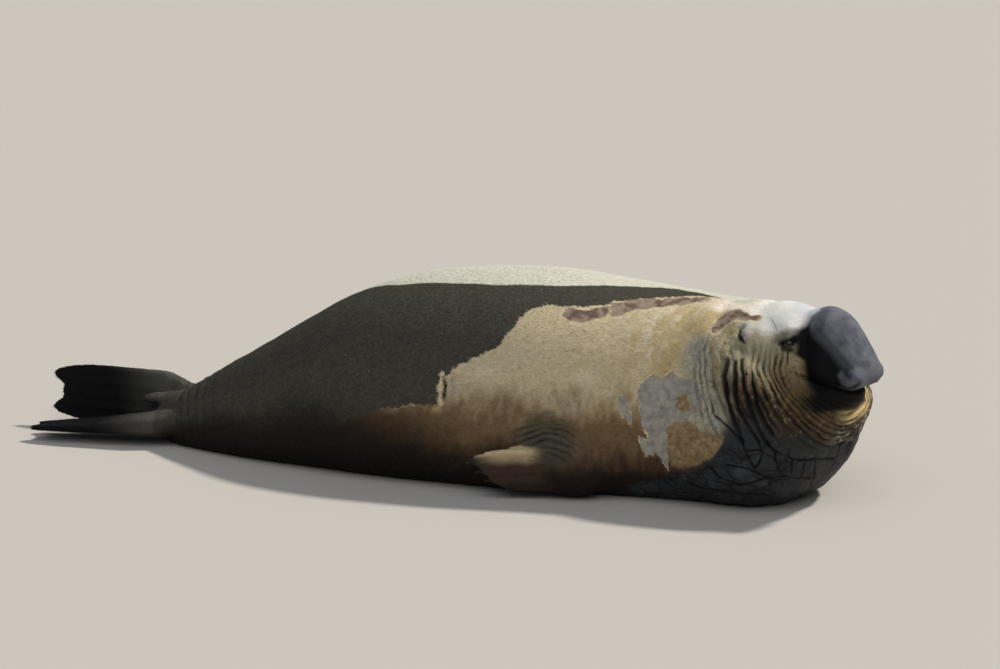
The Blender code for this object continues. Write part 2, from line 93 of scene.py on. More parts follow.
# Columns: name, azimuth and elevation in degrees, strength, angle across in degrees, colour
LIGHTS = (
    ("sun", 128, 50, 3.4, 5, (1.0, 0.955, 0.88)),
    ("front fill", 20, 50, 1.15, 60, (0.95, 0.975, 1.0)),
)
SKY_COLOUR = (0.80, 0.88, 1.0)
SKY_STRENGTH = 0.22
FLOOR_COLOUR = (0.47, 0.44, 0.405)
FLOOR_HALF = 90
PRIMES = (73856093, 19349663, 83492791)

# How fine the skin is
FUSE_VOXEL = 0.014
FUSE_SMOOTHING = 14
SKIN_VOXEL = 0.0084
SKIN_SMOOTHING = 5
FINE_FROM_X = 2.66
EYE_ZONE = 0.085

# The trunk's sections from hip to throat
# Columns: back x, back z, belly x, belly z, half width, widest level
TRUNK_SECTIONS = (
    (-0.10, 0.130, -0.10, 0.040, 0.050, 0.50),
    (-0.04, 0.188, -0.04, 0.012, 0.105, 0.48),
    (0.06, 0.250, 0.06, -0.012, 0.165, 0.44),
    (0.20, 0.335, 0.20, -0.030, 0.235, 0.42),
    (0.45, 0.488, 0.45, -0.045, 0.335, 0.40),
    (0.80, 0.712, 0.80, -0.060, 0.450, 0.39),
    (1.20, 0.898, 1.20, -0.075, 0.545, 0.39),
    (1.60, 0.972, 1.60, -0.085, 0.595, 0.39),
    (2.00, 0.990, 2.00, -0.085, 0.605, 0.39),
    (2.35, 0.962, 2.38, -0.080, 0.575, 0.40),
    (2.62, 0.937, 2.74, -0.070, 0.530, 0.41),
    (2.72, 0.932, 3.04, -0.050, 0.490, 0.42),
    (2.78, 0.930, 3.30, 0.000, 0.462, 0.43),
    (2.82, 0.930, 3.44, 0.115, 0.443, 0.44),
    (2.85, 0.930, 3.53, 0.245, 0.418, 0.45),
    (2.88, 0.928, 3.59, 0.365, 0.390, 0.45),
    (2.93, 0.915, 3.64, 0.460, 0.358, 0.44),
    (3.00, 0.880, 3.61, 0.535, 0.295, 0.45),
    (3.08, 0.820, 3.51, 0.590, 0.180, 0.48),
)
TRUNK_RINGS = 90
TRUNK_SIDES = 72
BACK_ROUNDNESS = 2.15
BELLY_ROUNDNESS = 2.5

# The head's own axes, forward, left and up, start between the ears
HEAD_ORIGIN = (3.10, 0.0, 0.82)
NECK_TURN = math.radians(23)
TURN_FROM, TURN_TO = 2.30, 3.02

# Ellipsoids that the head is fused from, in the head's axes
# Columns: forward, side, up, half length, half width, half height, tip down in degrees
HEAD_MASSES = (
    (0.00, 0.000, -0.045, 0.290, 0.215, 0.175, 0),
    (0.17, 0.000, -0.015, 0.240, 0.170, 0.166, 2),
    (0.34, 0.000, -0.090, 0.170, 0.140, 0.150, 12),
    (0.45, 0.080, -0.105, 0.100, 0.078, 0.085, 15),
    (0.18, 0.105, -0.140, 0.160, 0.115, 0.130, 10),
    (0.24, 0.110, 0.050, 0.080, 0.045, 0.042, 12),
    (0.41, 0.080, 0.025, 0.100, 0.062, 0.072, 20),
    (0.44, 0.000, -0.235, 0.150, 0.122, 0.072, 8),
    (0.575, 0.070, -0.132, 0.075, 0.062, 0.060, 30),
    (0.00, 0.000, -0.100, 0.340, 0.310, 0.222, 6),
    (0.05, 0.000, -0.200, 0.320, 0.310, 0.190, 12),
    (0.24, 0.000, -0.240, 0.250, 0.220, 0.120, 6),
)
TRUNK_MASSES = ((2.20, 0.47, 0.19, 0.30, 0.16, 0.19, 0),)

# Columns: forward, up, half thickness, half width
PROBOSCIS_SECTIONS = (
    (0.290, 0.020, 0.055, 0.080),
    (0.340, 0.040, 0.108, 0.110),
    (0.405, 0.045, 0.121, 0.118),
    (0.472, 0.000, 0.116, 0.114),
    (0.532, -0.066, 0.107, 0.114),
    (0.572, -0.120, 0.092, 0.115),
    (0.586, -0.160, 0.062, 0.098),
    (0.584, -0.186, 0.030, 0.058),
)
PROBOSCIS_RINGS = 26
PROBOSCIS_SIDES = 32

EYE_PLACE = (0.255, 0.131, -0.014)
EYE_RADIUS = 0.034

# Columns: x, z, half width, half height
TAIL_SECTIONS = (
    (0.160, 0.235, 0.060, 0.045),
    (0.050, 0.215, 0.055, 0.036),
    (-0.050, 0.205, 0.045, 0.028),
    (-0.120, 0.200, 0.032, 0.020),
    (-0.150, 0.198, 0.014, 0.010),
)

FORE_FLIPPER = {
    "length": 0.52,
    "width": 0.115,
    "root": 0.090,
    "root_thick": 0.060,
    "tip_thick": 0.016,
    "lobe": 0.0,
    "slant": 0.20,
    "notch": 0.014,
    "curl": 0.035,
}
HIND_FLIPPER = {
    "length": 0.81,
    "width": 0.148,
    "root": 0.095,
    "root_thick": 0.070,
    "tip_thick": 0.013,
    "lobe": 0.08,
    "slant": 0.0,
    "notch": 0.014,
    "curl": 0.02,
}
HIND_FLIPPER_NEAR = {**HIND_FLIPPER, "length": 0.79, "width": 0.128, "root": 0.078, "root_thick": 0.080}
CLAW_LENGTH = 0.045
CLAW_RADIUS = 0.0085
CLAW_ROOT = 0.014
CLAW_RINGS = 16
CLAW_SIDES = 16
FLIPPER_RINGS = 60
FLIPPER_SIDES = 61
LOBE_AT = 0.58
TOE_STEP = 0.425
FORE_PLACE = ((2.27, 0.545, 0.158), (-0.50, 0.085, -0.015), (0, -0.22, -1))
HIND_PLACE_RIGHT = ((0.10, -0.092, 0.116), (-0.66, -0.07, -0.068), (0.0, 1.0, -0.10))
HIND_PLACE_LEFT = ((0.11, 0.080, 0.165), (-0.66, 0.06, 0.005), (0.0, 0.10, 1.0))

# Folds that circle the muzzle over neck and cheeks, in the head's axes
FOLD_CENTRE = (0.50, 0.0, -0.10)
FOLD_STEP_START = 0.014
FOLD_STEP_GROWTH = 0.042
FOLD_DEPTH = 0.015
FOLDS_FROM, FOLDS_TO = 0.25, 0.84

# Top of the cracked chest shield: places along the body, and its height at each
SHIELD_X = (2.50, 2.60, 2.67, 2.80, 2.92, 3.06, 3.14, 3.19, 3.23, 3.29, 3.40, 3.47, 3.53, 3.58, 3.64)
SHIELD_Z = (0.03, 0.08, 0.118, 0.125, 0.17, 0.205, 0.26, 0.33, 0.42, 0.43, 0.40, 0.36, 0.335, 0.32, 0.34)
PLATE_LARGE = 0.085
PLATE_SMALL = 0.042
CRACK_DEPTH = 0.0075
PLATE_SWELL = 0.0035
ARMPIT_DEPTH = 0.009
ANKLE_DEPTH = 0.006
CRUST_HEIGHT = 0.0018

# The deepest folds of the neck and the long cracks of the shield on the right side, as paths in the straight pose
DEEP_FOLDS = (
    ((3.152, -0.347, 0.742), (3.167, -0.389, 0.669), (3.201, -0.415, 0.568), (3.231, -0.422, 0.507),
        (3.267, -0.422, 0.440), (3.294, -0.418, 0.375)),
    ((3.189, -0.334, 0.735), (3.222, -0.383, 0.658), (3.237, -0.401, 0.581), (3.269, -0.411, 0.525),
        (3.302, -0.407, 0.472), (3.330, -0.396, 0.430), (3.367, -0.382, 0.376)),
    ((3.212, -0.309, 0.749), (3.260, -0.370, 0.661), (3.305, -0.390, 0.575), (3.339, -0.386, 0.488),
        (3.386, -0.376, 0.406), (3.404, -0.360, 0.363)),
    ((3.313, -0.355, 0.648), (3.346, -0.373, 0.550), (3.399, -0.371, 0.466), (3.432, -0.352, 0.414)),
)
LONG_CRACKS = (
    ((3.155, -0.439, 0.483), (3.206, -0.436, 0.456), (3.251, -0.424, 0.413), (3.294, -0.418, 0.375)),
    ((3.294, -0.418, 0.375), (3.313, -0.395, 0.301), (3.345, -0.373, 0.243)),
    ((3.367, -0.382, 0.376), (3.380, -0.367, 0.316), (3.345, -0.373, 0.243)),
    ((3.320, -0.405, 0.333), (3.376, -0.370, 0.336)),
    ((3.217, -0.424, 0.246), (3.271, -0.401, 0.241), (3.320, -0.379, 0.235), (3.370, -0.305, 0.185),
        (3.430, -0.228, 0.184), (3.473, -0.079, 0.161)),
    ((3.127, -0.438, 0.224), (3.167, -0.427, 0.185), (3.222, -0.382, 0.146), (3.262, -0.365, 0.144),
        (3.326, -0.348, 0.167), (3.370, -0.305, 0.185)),
    ((2.974, -0.431, 0.125), (3.052, -0.385, 0.092), (3.185, -0.356, 0.095), (3.275, -0.319, 0.093),
        (3.333, -0.214, 0.071)),
    ((3.439, -0.336, 0.335), (3.425, -0.324, 0.291), (3.421, -0.270, 0.211), (3.430, -0.228, 0.184)),
    ((3.483, -0.261, 0.288), (3.450, -0.230, 0.208)),
    ((3.507, -0.205, 0.266), (3.471, -0.172, 0.195)),
    ((3.522, -0.139, 0.260), (3.473, -0.079, 0.161)),
    ((3.404, -0.360, 0.363), (3.439, -0.336, 0.335), (3.483, -0.261, 0.288), (3.519, -0.190, 0.280),
        (3.517, 0.019, 0.242)),
    ((3.376, -0.296, 0.179), (3.354, -0.274, 0.117)),
)
DEEP_FOLD_WIDTH = 0.010
LONG_CRACK_WIDTH = 0.0050
# The paths were read in the photo, so their depth along its line of sight counts only this much
SIGHT_SHARE = 0.08

# Wrinkles round the root of the fore flipper: centre along the body and up, and their spacing
ARMPIT = (2.13, 0.15)
ARMPIT_STEP = 0.026
# Middle of the grey-green skin above the flipper's root
PIT = (2.14, 0.30)
ANKLE_STEP = 0.060

# The mouth's plane, in the head's axes, tipped down to the front
MOUTH_PLACE = (0.465, 0.0, -0.188)
MOUTH_TIP = math.radians(14)

# Half width and half height of the gap between the lids
EYE_OPENING = (0.0265, 0.0150)
EYE_OUTWARD = (0.42, 1.0, 0.16)

# Swellings on both sides of the head: centre, radii, height
HEAD_BUMPS = (
    ((0.080, 0.240, 0.026), (0.024, 0.036, 0.026), 0.018),
    ((0.270, 0.145, 0.042), (0.065, 0.040, 0.020), 0.006),
    ((0.600, 0.100, -0.118), (0.055, 0.050, 0.040), 0.012),
    ((0.470, 0.140, -0.120), (0.080, 0.050, 0.045), 0.012),
)
# Creases on both sides of the head: path, half width, depth
HEAD_CREASES = (
    (((0.040, 0.213, 0.056), (0.033, 0.228, 0.042), (0.038, 0.242, 0.024), (0.062, 0.256, 0.006)), 0.011, 0.020),
    (((0.400, 0.120, 0.075), (0.450, 0.128, 0.035), (0.520, 0.126, -0.030), (0.580, 0.118, -0.080)), 0.030, 0.014),
    (((0.335, 0.105, 0.110), (0.345, 0.140, 0.040), (0.355, 0.150, -0.060), (0.385, 0.160, -0.130)), 0.018, 0.015),
    (((0.540, 0.125, -0.140), (0.590, 0.118, -0.160), (0.630, 0.085, -0.165)), 0.010, 0.009),
    (((0.230, 0.160, -0.050), (0.270, 0.160, -0.058), (0.310, 0.150, -0.048)), 0.009, 0.006),
    (((0.225, 0.160, 0.032), (0.265, 0.155, 0.038), (0.305, 0.145, 0.028)), 0.009, 0.005),
)
NOSTRIL = ((0.612, 0.058, -0.178), 0.016, 0.014)

# Edge of the new dark coat: places along the body, and degrees of rise round it
NEW_COAT_X = (0.0, 0.9, 1.1, 1.3, 1.45, 1.575, 1.60, 1.675, 1.77, 1.863, 1.915, 1.934, 1.972, 2.05, 2.12, 2.16,
    2.33, 2.36, 2.42, 2.49, 2.61, 2.68, 2.78, 2.86)
NEW_COAT_RISE = (-60, -25, -8, 1, 4, 6, 17, 25.7, 29.4, 34.7, 42.0, 49.0, 54.0, 58.5, 57.0, 59.5,
    60.5, 66.0, 67.5, 73.0, 78.5, 84.0, 90.5, 97.0)
# Metres round the body for a degree of rise
DEGREE = 0.0087
GIRTH_CENTRE = 0.38
ANKLE_CENTRE = 0.12
# The pale band of the back, partly pale coat and partly painted highlight of light on the back: places along the body,
# its edge on the right side and on the left
PALE_LIT_BAND_X = (0.90, 0.93, 0.98, 1.04, 1.24, 1.46, 1.775, 2.07, 2.25, 2.43, 2.60, 2.72, 2.86, 3.02)
PALE_LIT_BAND_RIGHT = (0.07, 0.055, 0.025, 0.0, -0.125, -0.17, -0.214, -0.187, -0.123, -0.042, 0.045, 0.050, 0.0, -0.06)
PALE_LIT_BAND_LEFT = (0.07, 0.085, 0.10, 0.12, 0.185, 0.24, 0.27, 0.27, 0.26, 0.24, 0.22, 0.20, 0.18, 0.14)

# Outlines of bare and haired patches: place along the body, and degrees of rise
BARE_PATCH = ((2.655, 19.5), (2.665, 13), (2.69, 8), (2.705, 1), (2.74, -3), (2.77, -8), (2.84, -16), (2.875, -22),
    (2.888, -14), (2.862, 2), (2.90, 6), (3.00, 7), (3.06, 14), (3.08, 22), (3.02, 33), (2.90, 31),
    (2.85, 32.5), (2.783, 27.5), (2.74, 29), (2.69, 25))
ISLANDS = (
    ((2.915, 20), (2.96, 23), (3.02, 20), (3.025, 13), (2.98, 11), (2.92, 14)),
    ((2.872, 2), (2.93, 6), (3.03, 8), (3.10, 1), (3.22, 0), (3.195, -9), (3.06, -19), (2.90, -20)),
)
SLITS = (
    ((2.525, 16), (2.57, 16), (2.60, 12), (2.640, 5), (2.645, 1.4), (2.615, 3), (2.57, 7), (2.530, 11)),
    ((2.69, -4), (2.74, -6), (2.785, -13), (2.74, -13.5), (2.71, -10)),
)
# The crescent scar at the edge of the moult, and the pale fringe behind it
CRESCENT = ((1.600, 18.0), (1.612, 15.0), (1.615, 12.0), (1.608, 8.5))
CRESCENT_RIM = ((1.592, 20.0), (1.590, 15.0), (1.594, 10.0), (1.598, 5.5))
CRESCENT_ISLAND = ((1.650, 17.0), (1.658, 14.0), (1.652, 11.5))
FRINGE = ((1.30, 3.0), (1.40, 5.0), (1.50, 6.0), (1.58, 5.0))
# Brown scars along the back: path along the body and rise, and half width
SCARS = (
    (((2.36, 60.0), (2.42, 62.5), (2.49, 67.5), (2.61, 72.5), (2.68, 77.5), (2.79, 84.5)), 0.041),
    (((2.17, 54.0), (2.25, 54.5), (2.33, 58.0)), 0.036),
)
# The brown scar behind the ear, in the head's axes: places along it, and its half width at each
EAR_SCAR = ((-0.085, 0.262, 0.022), (-0.070, 0.195, 0.072), (-0.040, 0.150, 0.093), (0.034, 0.166, 0.085),
    (0.072, 0.143, 0.086))
EAR_SCAR_WIDTHS = (0.024, 0.044, 0.036, 0.020, 0.021)
# Dark marks of the face on both sides, most of them painted shade over the brow, round the eye, in creases and along
# the proboscis's valley, besides a tear streak: path in the head's axes, half width, strength
FACE_MARKS = (
    (((0.222, 0.165, 0.018), (0.262, 0.152, 0.034), (0.305, 0.138, 0.042)), 0.030, 0.50),
    (((0.238, 0.166, -0.008), (0.262, 0.160, 0.002), (0.297, 0.142, 0.014)), 0.017, 0.95),
    (((0.297, 0.142, 0.014), (0.325, 0.140, 0.025)), 0.022, 0.95),
    (((0.250, 0.168, -0.030), (0.280, 0.152, -0.034)), 0.015, 0.85),
    (((0.268, 0.159, -0.045), (0.276, 0.170, -0.078), (0.282, 0.175, -0.100)), 0.0048, 0.95),
    (((0.142, 0.127, 0.094), (0.180, 0.145, 0.070), (0.205, 0.159, 0.046)), 0.0028, 0.55),
    (((0.110, 0.140, 0.085), (0.125, 0.165, 0.066), (0.128, 0.190, 0.046)), 0.0025, 0.35),
    (((0.293, 0.130, 0.075), (0.305, 0.125, 0.082)), 0.005, 0.5),
    (((0.315, 0.160, -0.133), (0.325, 0.158, -0.147), (0.345, 0.155, -0.140)), 0.004, 0.8),
    (((0.400, 0.120, 0.065), (0.450, 0.128, 0.025), (0.520, 0.126, -0.040), (0.580, 0.118, -0.090)), 0.040, 0.55),
    (((0.570, 0.128, -0.085), (0.600, 0.112, -0.125)), 0.012, 0.6),
)
# The crease behind the ear, painted dark as shade: path in the head's axes, and its half width at each place
EAR_CREASE = ((0.042, 0.210, 0.058), (0.033, 0.228, 0.042), (0.038, 0.242, 0.024), (0.064, 0.256, 0.006),
    (0.092, 0.263, -0.010))
EAR_CREASE_WIDTHS = (0.002, 0.006, 0.008, 0.011, 0.004)
# How far forward the dark muzzle starts, at heights from below the chin to the brow
MUZZLE_UP = (-0.320, -0.300, -0.285, -0.235, -0.169, -0.081, -0.053, 0.052, 0.100, 0.150)
MUZZLE_FROM = (0.560, 0.505, 0.470, 0.425, 0.360, 0.348, 0.306, 0.300, 0.335, 0.375
)

# Short tufts of the coat, lying away from a place ahead of the muzzle in the head's axes
TUFTS = 190000
TUFTS_A_PIECE = 47500
TUFT_SEED = 7
TUFT_LENGTH = 0.017
TUFT_WIDTH = 0.0042
TUFT_THICK = 0.0006
TUFT_SINK = 0.0012
TUFT_LIFT = 0.0019
TUFT_ROUNDNESS = 0.22
NORMAL_STEP = 0.001
TUFTS_FROM = (1.2, 0.0, -0.1)
TUFT_PATCH = 0.003

# The proboscis is bare and dark in front of this distance along the head
PROBOSCIS_FROM = 0.335

# Colours as they look on a screen
COLOURS = {
    "new coat": (51, 50, 46),
    "new coat light": (80, 76, 64),
    "old coat": (197, 182, 150),
    "old coat pale": (222, 212, 190),
    "old coat yellow": (182, 160, 110),
    "old coat brown": (116, 93, 66),
    "old coat dark and shade": (42, 32, 27),
    "stain_and_shade": (22, 17, 14),
    "armpit": (78, 76, 64),
    "rim": (212, 198, 160),
    "pale_lit_band": (216, 214, 198),
    "pale_lit_band_low": (196, 191, 174),
    "scar": (152, 134, 118),
    "scar dark": (106, 89, 78),
    "bare": (156, 149, 138),
    "bare dark": (120, 116, 110),
    "shield": (46, 48, 51),
    "shield light": (74, 77, 79),
    "island": (142, 121, 88),
    "neck grey": (172, 169, 153),
    "fold ridge": (160, 143, 100),
    "fold low": (60, 45, 31),
    "fold orange": (150, 104, 54),
    "fold valley": (20, 13, 11),
    "throat": (220, 194, 134),
    "nape": (232, 220, 204),
    "forehead": (232, 230, 222),
    "forehead blue": (200, 202, 210),
    "cheek": (142, 138, 114),
    "cheek brown": (100, 80, 50),
    "proboscis": (110, 112, 120),
    "proboscis dark": (64, 67, 74),
    "muzzle": (3, 3, 6),
    "jaw": (10, 9, 9),
    "ear": (164, 156, 156),
    "flipper": (4, 4, 7),
    "flipper root pale and lit": (80, 78, 72),
    "fore flipper lit rim": (212, 190, 152),
    "fore flipper shaded": (70, 55, 43),
    "toes": (48, 43, 40),
    "claw": (38, 33, 29),
    "dark mark and shade": (9, 8, 9),
    "crack": (17, 14, 13),
}


def spline_through(rows, count):
    """A natural cubic spline through the rows, read at even steps of chord length."""
    rows = np.array(rows, float)
    steps = np.linalg.norm(np.diff(rows, axis=0), axis=1)
    knots = np.concatenate(([0.0], np.cumsum(steps)))
    last = len(rows) - 1
    matrix = np.eye(len(rows))
    target = np.zeros_like(rows)
    for i in range(1, last):
        before, after = steps[i - 1], steps[i]
        matrix[i, i - 1 : i + 2] = before, 2 * (before + after), after
        target[i] = 6 * ((rows[i + 1] - rows[i]) / after - (rows[i] - rows[i - 1]) / before)
    bends = np.linalg.solve(matrix, target)
    at = np.linspace(0.0, knots[-1], count)
    span = np.clip(np.searchsorted(knots, at, side="right") - 1, 0, last - 1)
    width = steps[span][:, None]
    right = (at - knots[span])[:, None] / width
    left = 1 - right
    straight = left * rows[span] + right * rows[span + 1]
    curved = (left**3 - left) * bends[span] + (right**3 - right) * bends[span + 1]
    return straight + curved * width**2 / 6


def rounded(angle, roundness):
    """Cosine and sine of a superellipse of that roundness, 2 being a plain ellipse."""
    c, s = np.cos(angle), np.sin(angle)
    power = 2 / roundness
    return np.sign(c) * np.abs(c) ** power, np.sign(s) * np.abs(s) ** power


def linked(name, mesh):
    obj = bpy.data.objects.new(name, mesh)
    bpy.context.scene.collection.objects.link(obj)
    return obj


def new_object(name, points, faces):
    mesh = bpy.data.meshes.new(name)
    mesh.from_pydata([tuple(map(float, p)) for p in points], [], faces)
    mesh.update()
    return linked(name, mesh)


def loft(name, rings):
    """A closed skin over rings of the same even number of points, each end filled with a strip."""
    rings = np.array(rings, float)
    count, sides = rings.shape[:2]
    faces = []
    for i in range(count - 1):
        for k in range(sides):
            n = (k + 1) % sides
            faces.append((i * sides + k, i * sides + n, (i + 1) * sides + n, (i + 1) * sides + k))
    end = (count - 1) * sides
    for k in range(sides // 2 - 1):
        strip = (k, k + 1, sides - 2 - k, sides - 1 - k)
        faces.append(strip[::-1])
        faces.append(tuple(end + corner for corner in strip))
    return new_object(name, rings.reshape(-1, 3), faces)


def trunk_rings():
    angle = np.linspace(0, 2 * math.pi, TRUNK_SIDES, endpoint=False)
    back_half = np.sin(angle) > 0
    upper_c, upper_s = rounded(angle, BACK_ROUNDNESS)
    lower_c, lower_s = rounded(angle, BELLY_ROUNDNESS)
    across = np.where(back_half, upper_c, lower_c)
    rings = []
    for bx, bz, vx, vz, half_width, level in spline_through(TRUNK_SECTIONS, TRUNK_RINGS):
        rise = np.where(back_half, level + (1 - level) * upper_s, level + level * lower_s)
        x = vx + (bx - vx) * rise
        z = vz + (bz - vz) * rise
        rings.append(np.stack([x, half_width * across, z], axis=1)[::-1])
    return rings


def ellipsoid(name, centre, radii, tip=0.0, segments=32):
    bm = bmesh.new()
    matrix = Matrix.Translation(centre) @ Matrix.Rotation(math.radians(tip), 4, "Y") @ Matrix.Diagonal((*radii, 1))
    bmesh.ops.create_uvsphere(bm, u_segments=segments, v_segments=segments // 2, radius=1, matrix=matrix)
    mesh = bpy.data.meshes.new(name)
    bm.to_mesh(mesh)
    bm.free()
    return linked(name, mesh)


def proboscis_rings():
    """Rings across the arched spine of the proboscis, in the head's axes."""
    sections = spline_through(PROBOSCIS_SECTIONS, PROBOSCIS_RINGS)
    along = np.gradient(sections[:, :2], axis=0)
    along /= np.linalg.norm(along, axis=1)[:, None]
    angle = np.linspace(0, 2 * math.pi, PROBOSCIS_SIDES, endpoint=False)
    rings = []
    for (f, u, thick, wide), (df, du) in zip(sections, along):
        forward = f - du * thick * np.sin(angle)
        up = u + df * thick * np.sin(angle)
        rings.append(np.stack([forward, wide * np.cos(angle), up], axis=1)[::-1])
    return rings


def join(name, objects):
    """One mesh of all the objects' faces, still loose from one another."""
    bm = bmesh.new()
    for obj in objects:
        start = len(bm.verts)
        bm.from_mesh(obj.data)
        bm.verts.ensure_lookup_table()
        bmesh.ops.transform(bm, matrix=obj.matrix_basis, verts=bm.verts[start:])
        bpy.data.objects.remove(obj)
    bmesh.ops.recalc_face_normals(bm, faces=bm.faces)
    mesh = bpy.data.meshes.new(name)
    bm.to_mesh(mesh)
    bm.free()
    return linked(name, mesh)


def apply_modifiers(obj):
    graph = bpy.context.evaluated_depsgraph_get()
    mesh = bpy.data.meshes.new_from_object(obj.evaluated_get(graph))
    obj.modifiers.clear()
    obj.data = mesh
    return obj


def fuse(obj, voxel, smooth_steps):
    """One even skin over loose, overlapping bodies, with the creases between them rounded."""
    remesh = obj.modifiers.new("one skin", "REMESH")
    remesh.mode = "VOXEL"
    remesh.voxel_size = voxel
    smooth = obj.modifiers.new("fillet", "SMOOTH")
    smooth.factor = 0.5
    smooth.iterations = smooth_steps
    return apply_modifiers(obj)


def toe_reach(across, sizes):
    """How far the paddle's rim lies from its root, at a place across it from -1 to 1."""
    beyond = np.clip(np.abs(across) - LOBE_AT, 0, 1)
    within = np.clip(np.abs(across) / LOBE_AT, 0, 1)
    between = 0.5 - 0.5 * np.cos(across * 2 * math.pi / TOE_STEP)
    shape = 1 - sizes["lobe"] * (1 - within**2) - 1.6 * beyond**2
    shape = shape - sizes["slant"] * np.clip(across + 0.5, 0, 2)
    return sizes["length"] * shape - sizes["notch"] * between


def toe_spread(t, sizes):
    """Half the paddle's width, part of the way t along it."""
    widening = min(1, t / 0.35)
    return sizes["root"] + (sizes["width"] - sizes["root"]) * widening * widening * (3 - 2 * widening)


def flipper_rings(sizes):
    """A five-toed paddle: forward along its length, then across it, then through it."""
    rings = []
    across = np.sin(np.linspace(-math.pi / 2, math.pi / 2, FLIPPER_SIDES))
    between = 0.5 - 0.5 * np.cos(across * 2 * math.pi / TOE_STEP)
    round_edge = np.sqrt(np.clip(1 - across**4, 0, 1))
    for t in np.linspace(0, 1, FLIPPER_RINGS):
        thick = sizes["root_thick"] + (sizes["tip_thick"] - sizes["root_thick"]) * t**0.7
        webbing = 1 - 0.18 * min(1, max(0, (t - 0.15) / 0.4)) * between
        half = thick * (0.42 + 0.58 * round_edge) * webbing
        along = toe_reach(across, sizes) * t
        side = toe_spread(t, sizes) * across
        dip = -sizes["curl"] * t**2
        top = np.stack([along, side, dip + half], axis=1)
        bottom = np.stack([along, side, dip - half], axis=1)[::-1]
        rings.append(np.concatenate([top, bottom]))
    return rings


def paddle_axes(place):
    """A flipper's directions forward, across and through, as the rows of a matrix."""
    forward = Vector(place[1]).normalized()
    across = Vector(place[2])
    across = (across - forward * across.dot(forward)).normalized()
    return Matrix((forward, across, forward.cross(across)))


def placed(obj, place, way=1):
    """Moves a flipper so that its root is at the first of its place, pointing along the second."""
    matrix = paddle_axes(place).transposed().to_4x4()
    matrix.translation = place[0]
    obj.data.transform(Matrix.Diagonal((1, way, 1, 1)) @ matrix)
    obj.data.update()
    return obj


def in_paddle(points, sizes, place, way):
    """How far each point lies along a paddle from 0 to 1, across it from -1 to 1, and off its surface in metres."""
    local = (points * (1, way, 1) - place[0]) @ np.array(paddle_axes(place)).T
    along = local[:, 0] / sizes["length"]
    t = np.clip(along, 0, 1)
    widening = np.clip(t / 0.35, 0, 1)
    spread = sizes["root"] + (sizes["width"] - sizes["root"]) * widening * widening * (3 - 2 * widening)
    thick = sizes["root_thick"] + (sizes["tip_thick"] - sizes["root_thick"]) * t**0.7
    across = local[:, 1] / spread
    thick = thick * (0.42 + 0.58 * np.sqrt(np.clip(1 - across**4, 0, 1)))
    return along, across, np.abs(local[:, 2] + sizes["curl"] * t**2) - thick


def tail_piece():
    angle = np.linspace(0, 2 * math.pi, 40, endpoint=False)
    rings = []
    for x, z, wide, high in spline_through(TAIL_SECTIONS, 30):
        rings.append(np.stack([np.full(40, x), wide * np.cos(angle), z + high * np.sin(angle)], axis=1))
    return loft("tail", rings)


def bent(points):
    """Turns the neck: straight up to TURN_FROM, an arc to TURN_TO, then straight again."""
    length = TURN_TO - TURN_FROM
    radius = length / NECK_TURN
    along = np.clip(points[:, 0] - TURN_FROM, 0, length)
    angle = along / radius
    beyond = points[:, 0] - TURN_FROM - along
    out = points.copy()
    out[:, 0] = TURN_FROM + radius * np.sin(angle) + points[:, 1] * np.sin(angle) + beyond * np.cos(angle)
    out[:, 1] = -radius * (1 - np.cos(angle)) + points[:, 1] * np.cos(angle) - beyond * np.sin(angle)
    return out


def straightened(points):
    """Undoes bent."""
    length = TURN_TO - TURN_FROM
    radius = length / NECK_TURN
    centre = np.array([TURN_FROM, -radius])
    offset = points[:, :2] - centre
    angle = np.clip(np.arctan2(offset[:, 0], offset[:, 1]), 0, NECK_TURN)
    c, s = np.cos(angle), np.sin(angle)
    out = points.copy()
    out[:, 1] = offset[:, 0] * s + offset[:, 1] * c - radius
    out[:, 0] = TURN_FROM + radius * angle + offset[:, 0] * c - offset[:, 1] * s
    return out


def points_of(mesh):
    points = np.empty(len(mesh.vertices) * 3)
    mesh.vertices.foreach_get("co", points)
    return points.reshape(-1, 3)


def set_points(mesh, points):
    mesh.vertices.foreach_set("co", points.ravel())
    mesh.update()


def normals_of(mesh):
    normals = np.empty(len(mesh.vertices) * 3)
    mesh.vertex_normals.foreach_get("vector", normals)
    return normals.reshape(-1, 3)


def fused_seal():
    """Trunk, head, proboscis, tail and flippers as one closed skin in the turned pose."""
    head = Matrix.Translation(HEAD_ORIGIN)
    loose = [loft("trunk", trunk_rings())]
    for forward, side, up, length, width, height, tip in HEAD_MASSES:
        for way in (1, -1) if side else (1,):
            mass = ellipsoid("mass", (forward, way * side, up), (length, width, height), tip)
            mass.matrix_basis = head
            loose.append(mass)
    for x, side, z, length, width, height, tip in TRUNK_MASSES:
        for way in (1, -1):
            loose.append(ellipsoid("mass", (x, way * side, z), (length, width, height), tip))
    proboscis = loft("proboscis", proboscis_rings())
    proboscis.matrix_basis = head
    loose.append(proboscis)
    body = fuse(join("body", loose), FUSE_VOXEL, FUSE_SMOOTHING)
    rounder = body.modifiers.new("rounder", "SUBSURF")
    rounder.levels = rounder.render_levels = 1
    apply_modifiers(body)
    set_points(body.data, bent(points_of(body.data)))
    limbs = [tail_piece()]
    for way in (1, -1):
        limbs.append(placed(loft("fore", flipper_rings(FORE_FLIPPER)), FORE_PLACE, way))
    limbs.append(placed(loft("hind", flipper_rings(HIND_FLIPPER_NEAR)), HIND_PLACE_RIGHT))
    limbs.append(placed(loft("hind", flipper_rings(HIND_FLIPPER)), HIND_PLACE_LEFT))
    return fuse(join("skin", [body, *limbs]), SKIN_VOXEL, SKIN_SMOOTHING)


def look_at(obj, place, target):
    obj.location = place
    obj.rotation_mode = "QUATERNION"
    obj.rotation_quaternion = (Vector(target) - Vector(place)).to_track_quat("-Z", "Y")


def direction(azimuth, elevation):
    """From the seal towards something at that azimuth, 0 being its right side, and elevation."""
    level = math.cos(elevation)
    return Vector((math.sin(azimuth) * level, -math.cos(azimuth) * level, math.sin(elevation)))


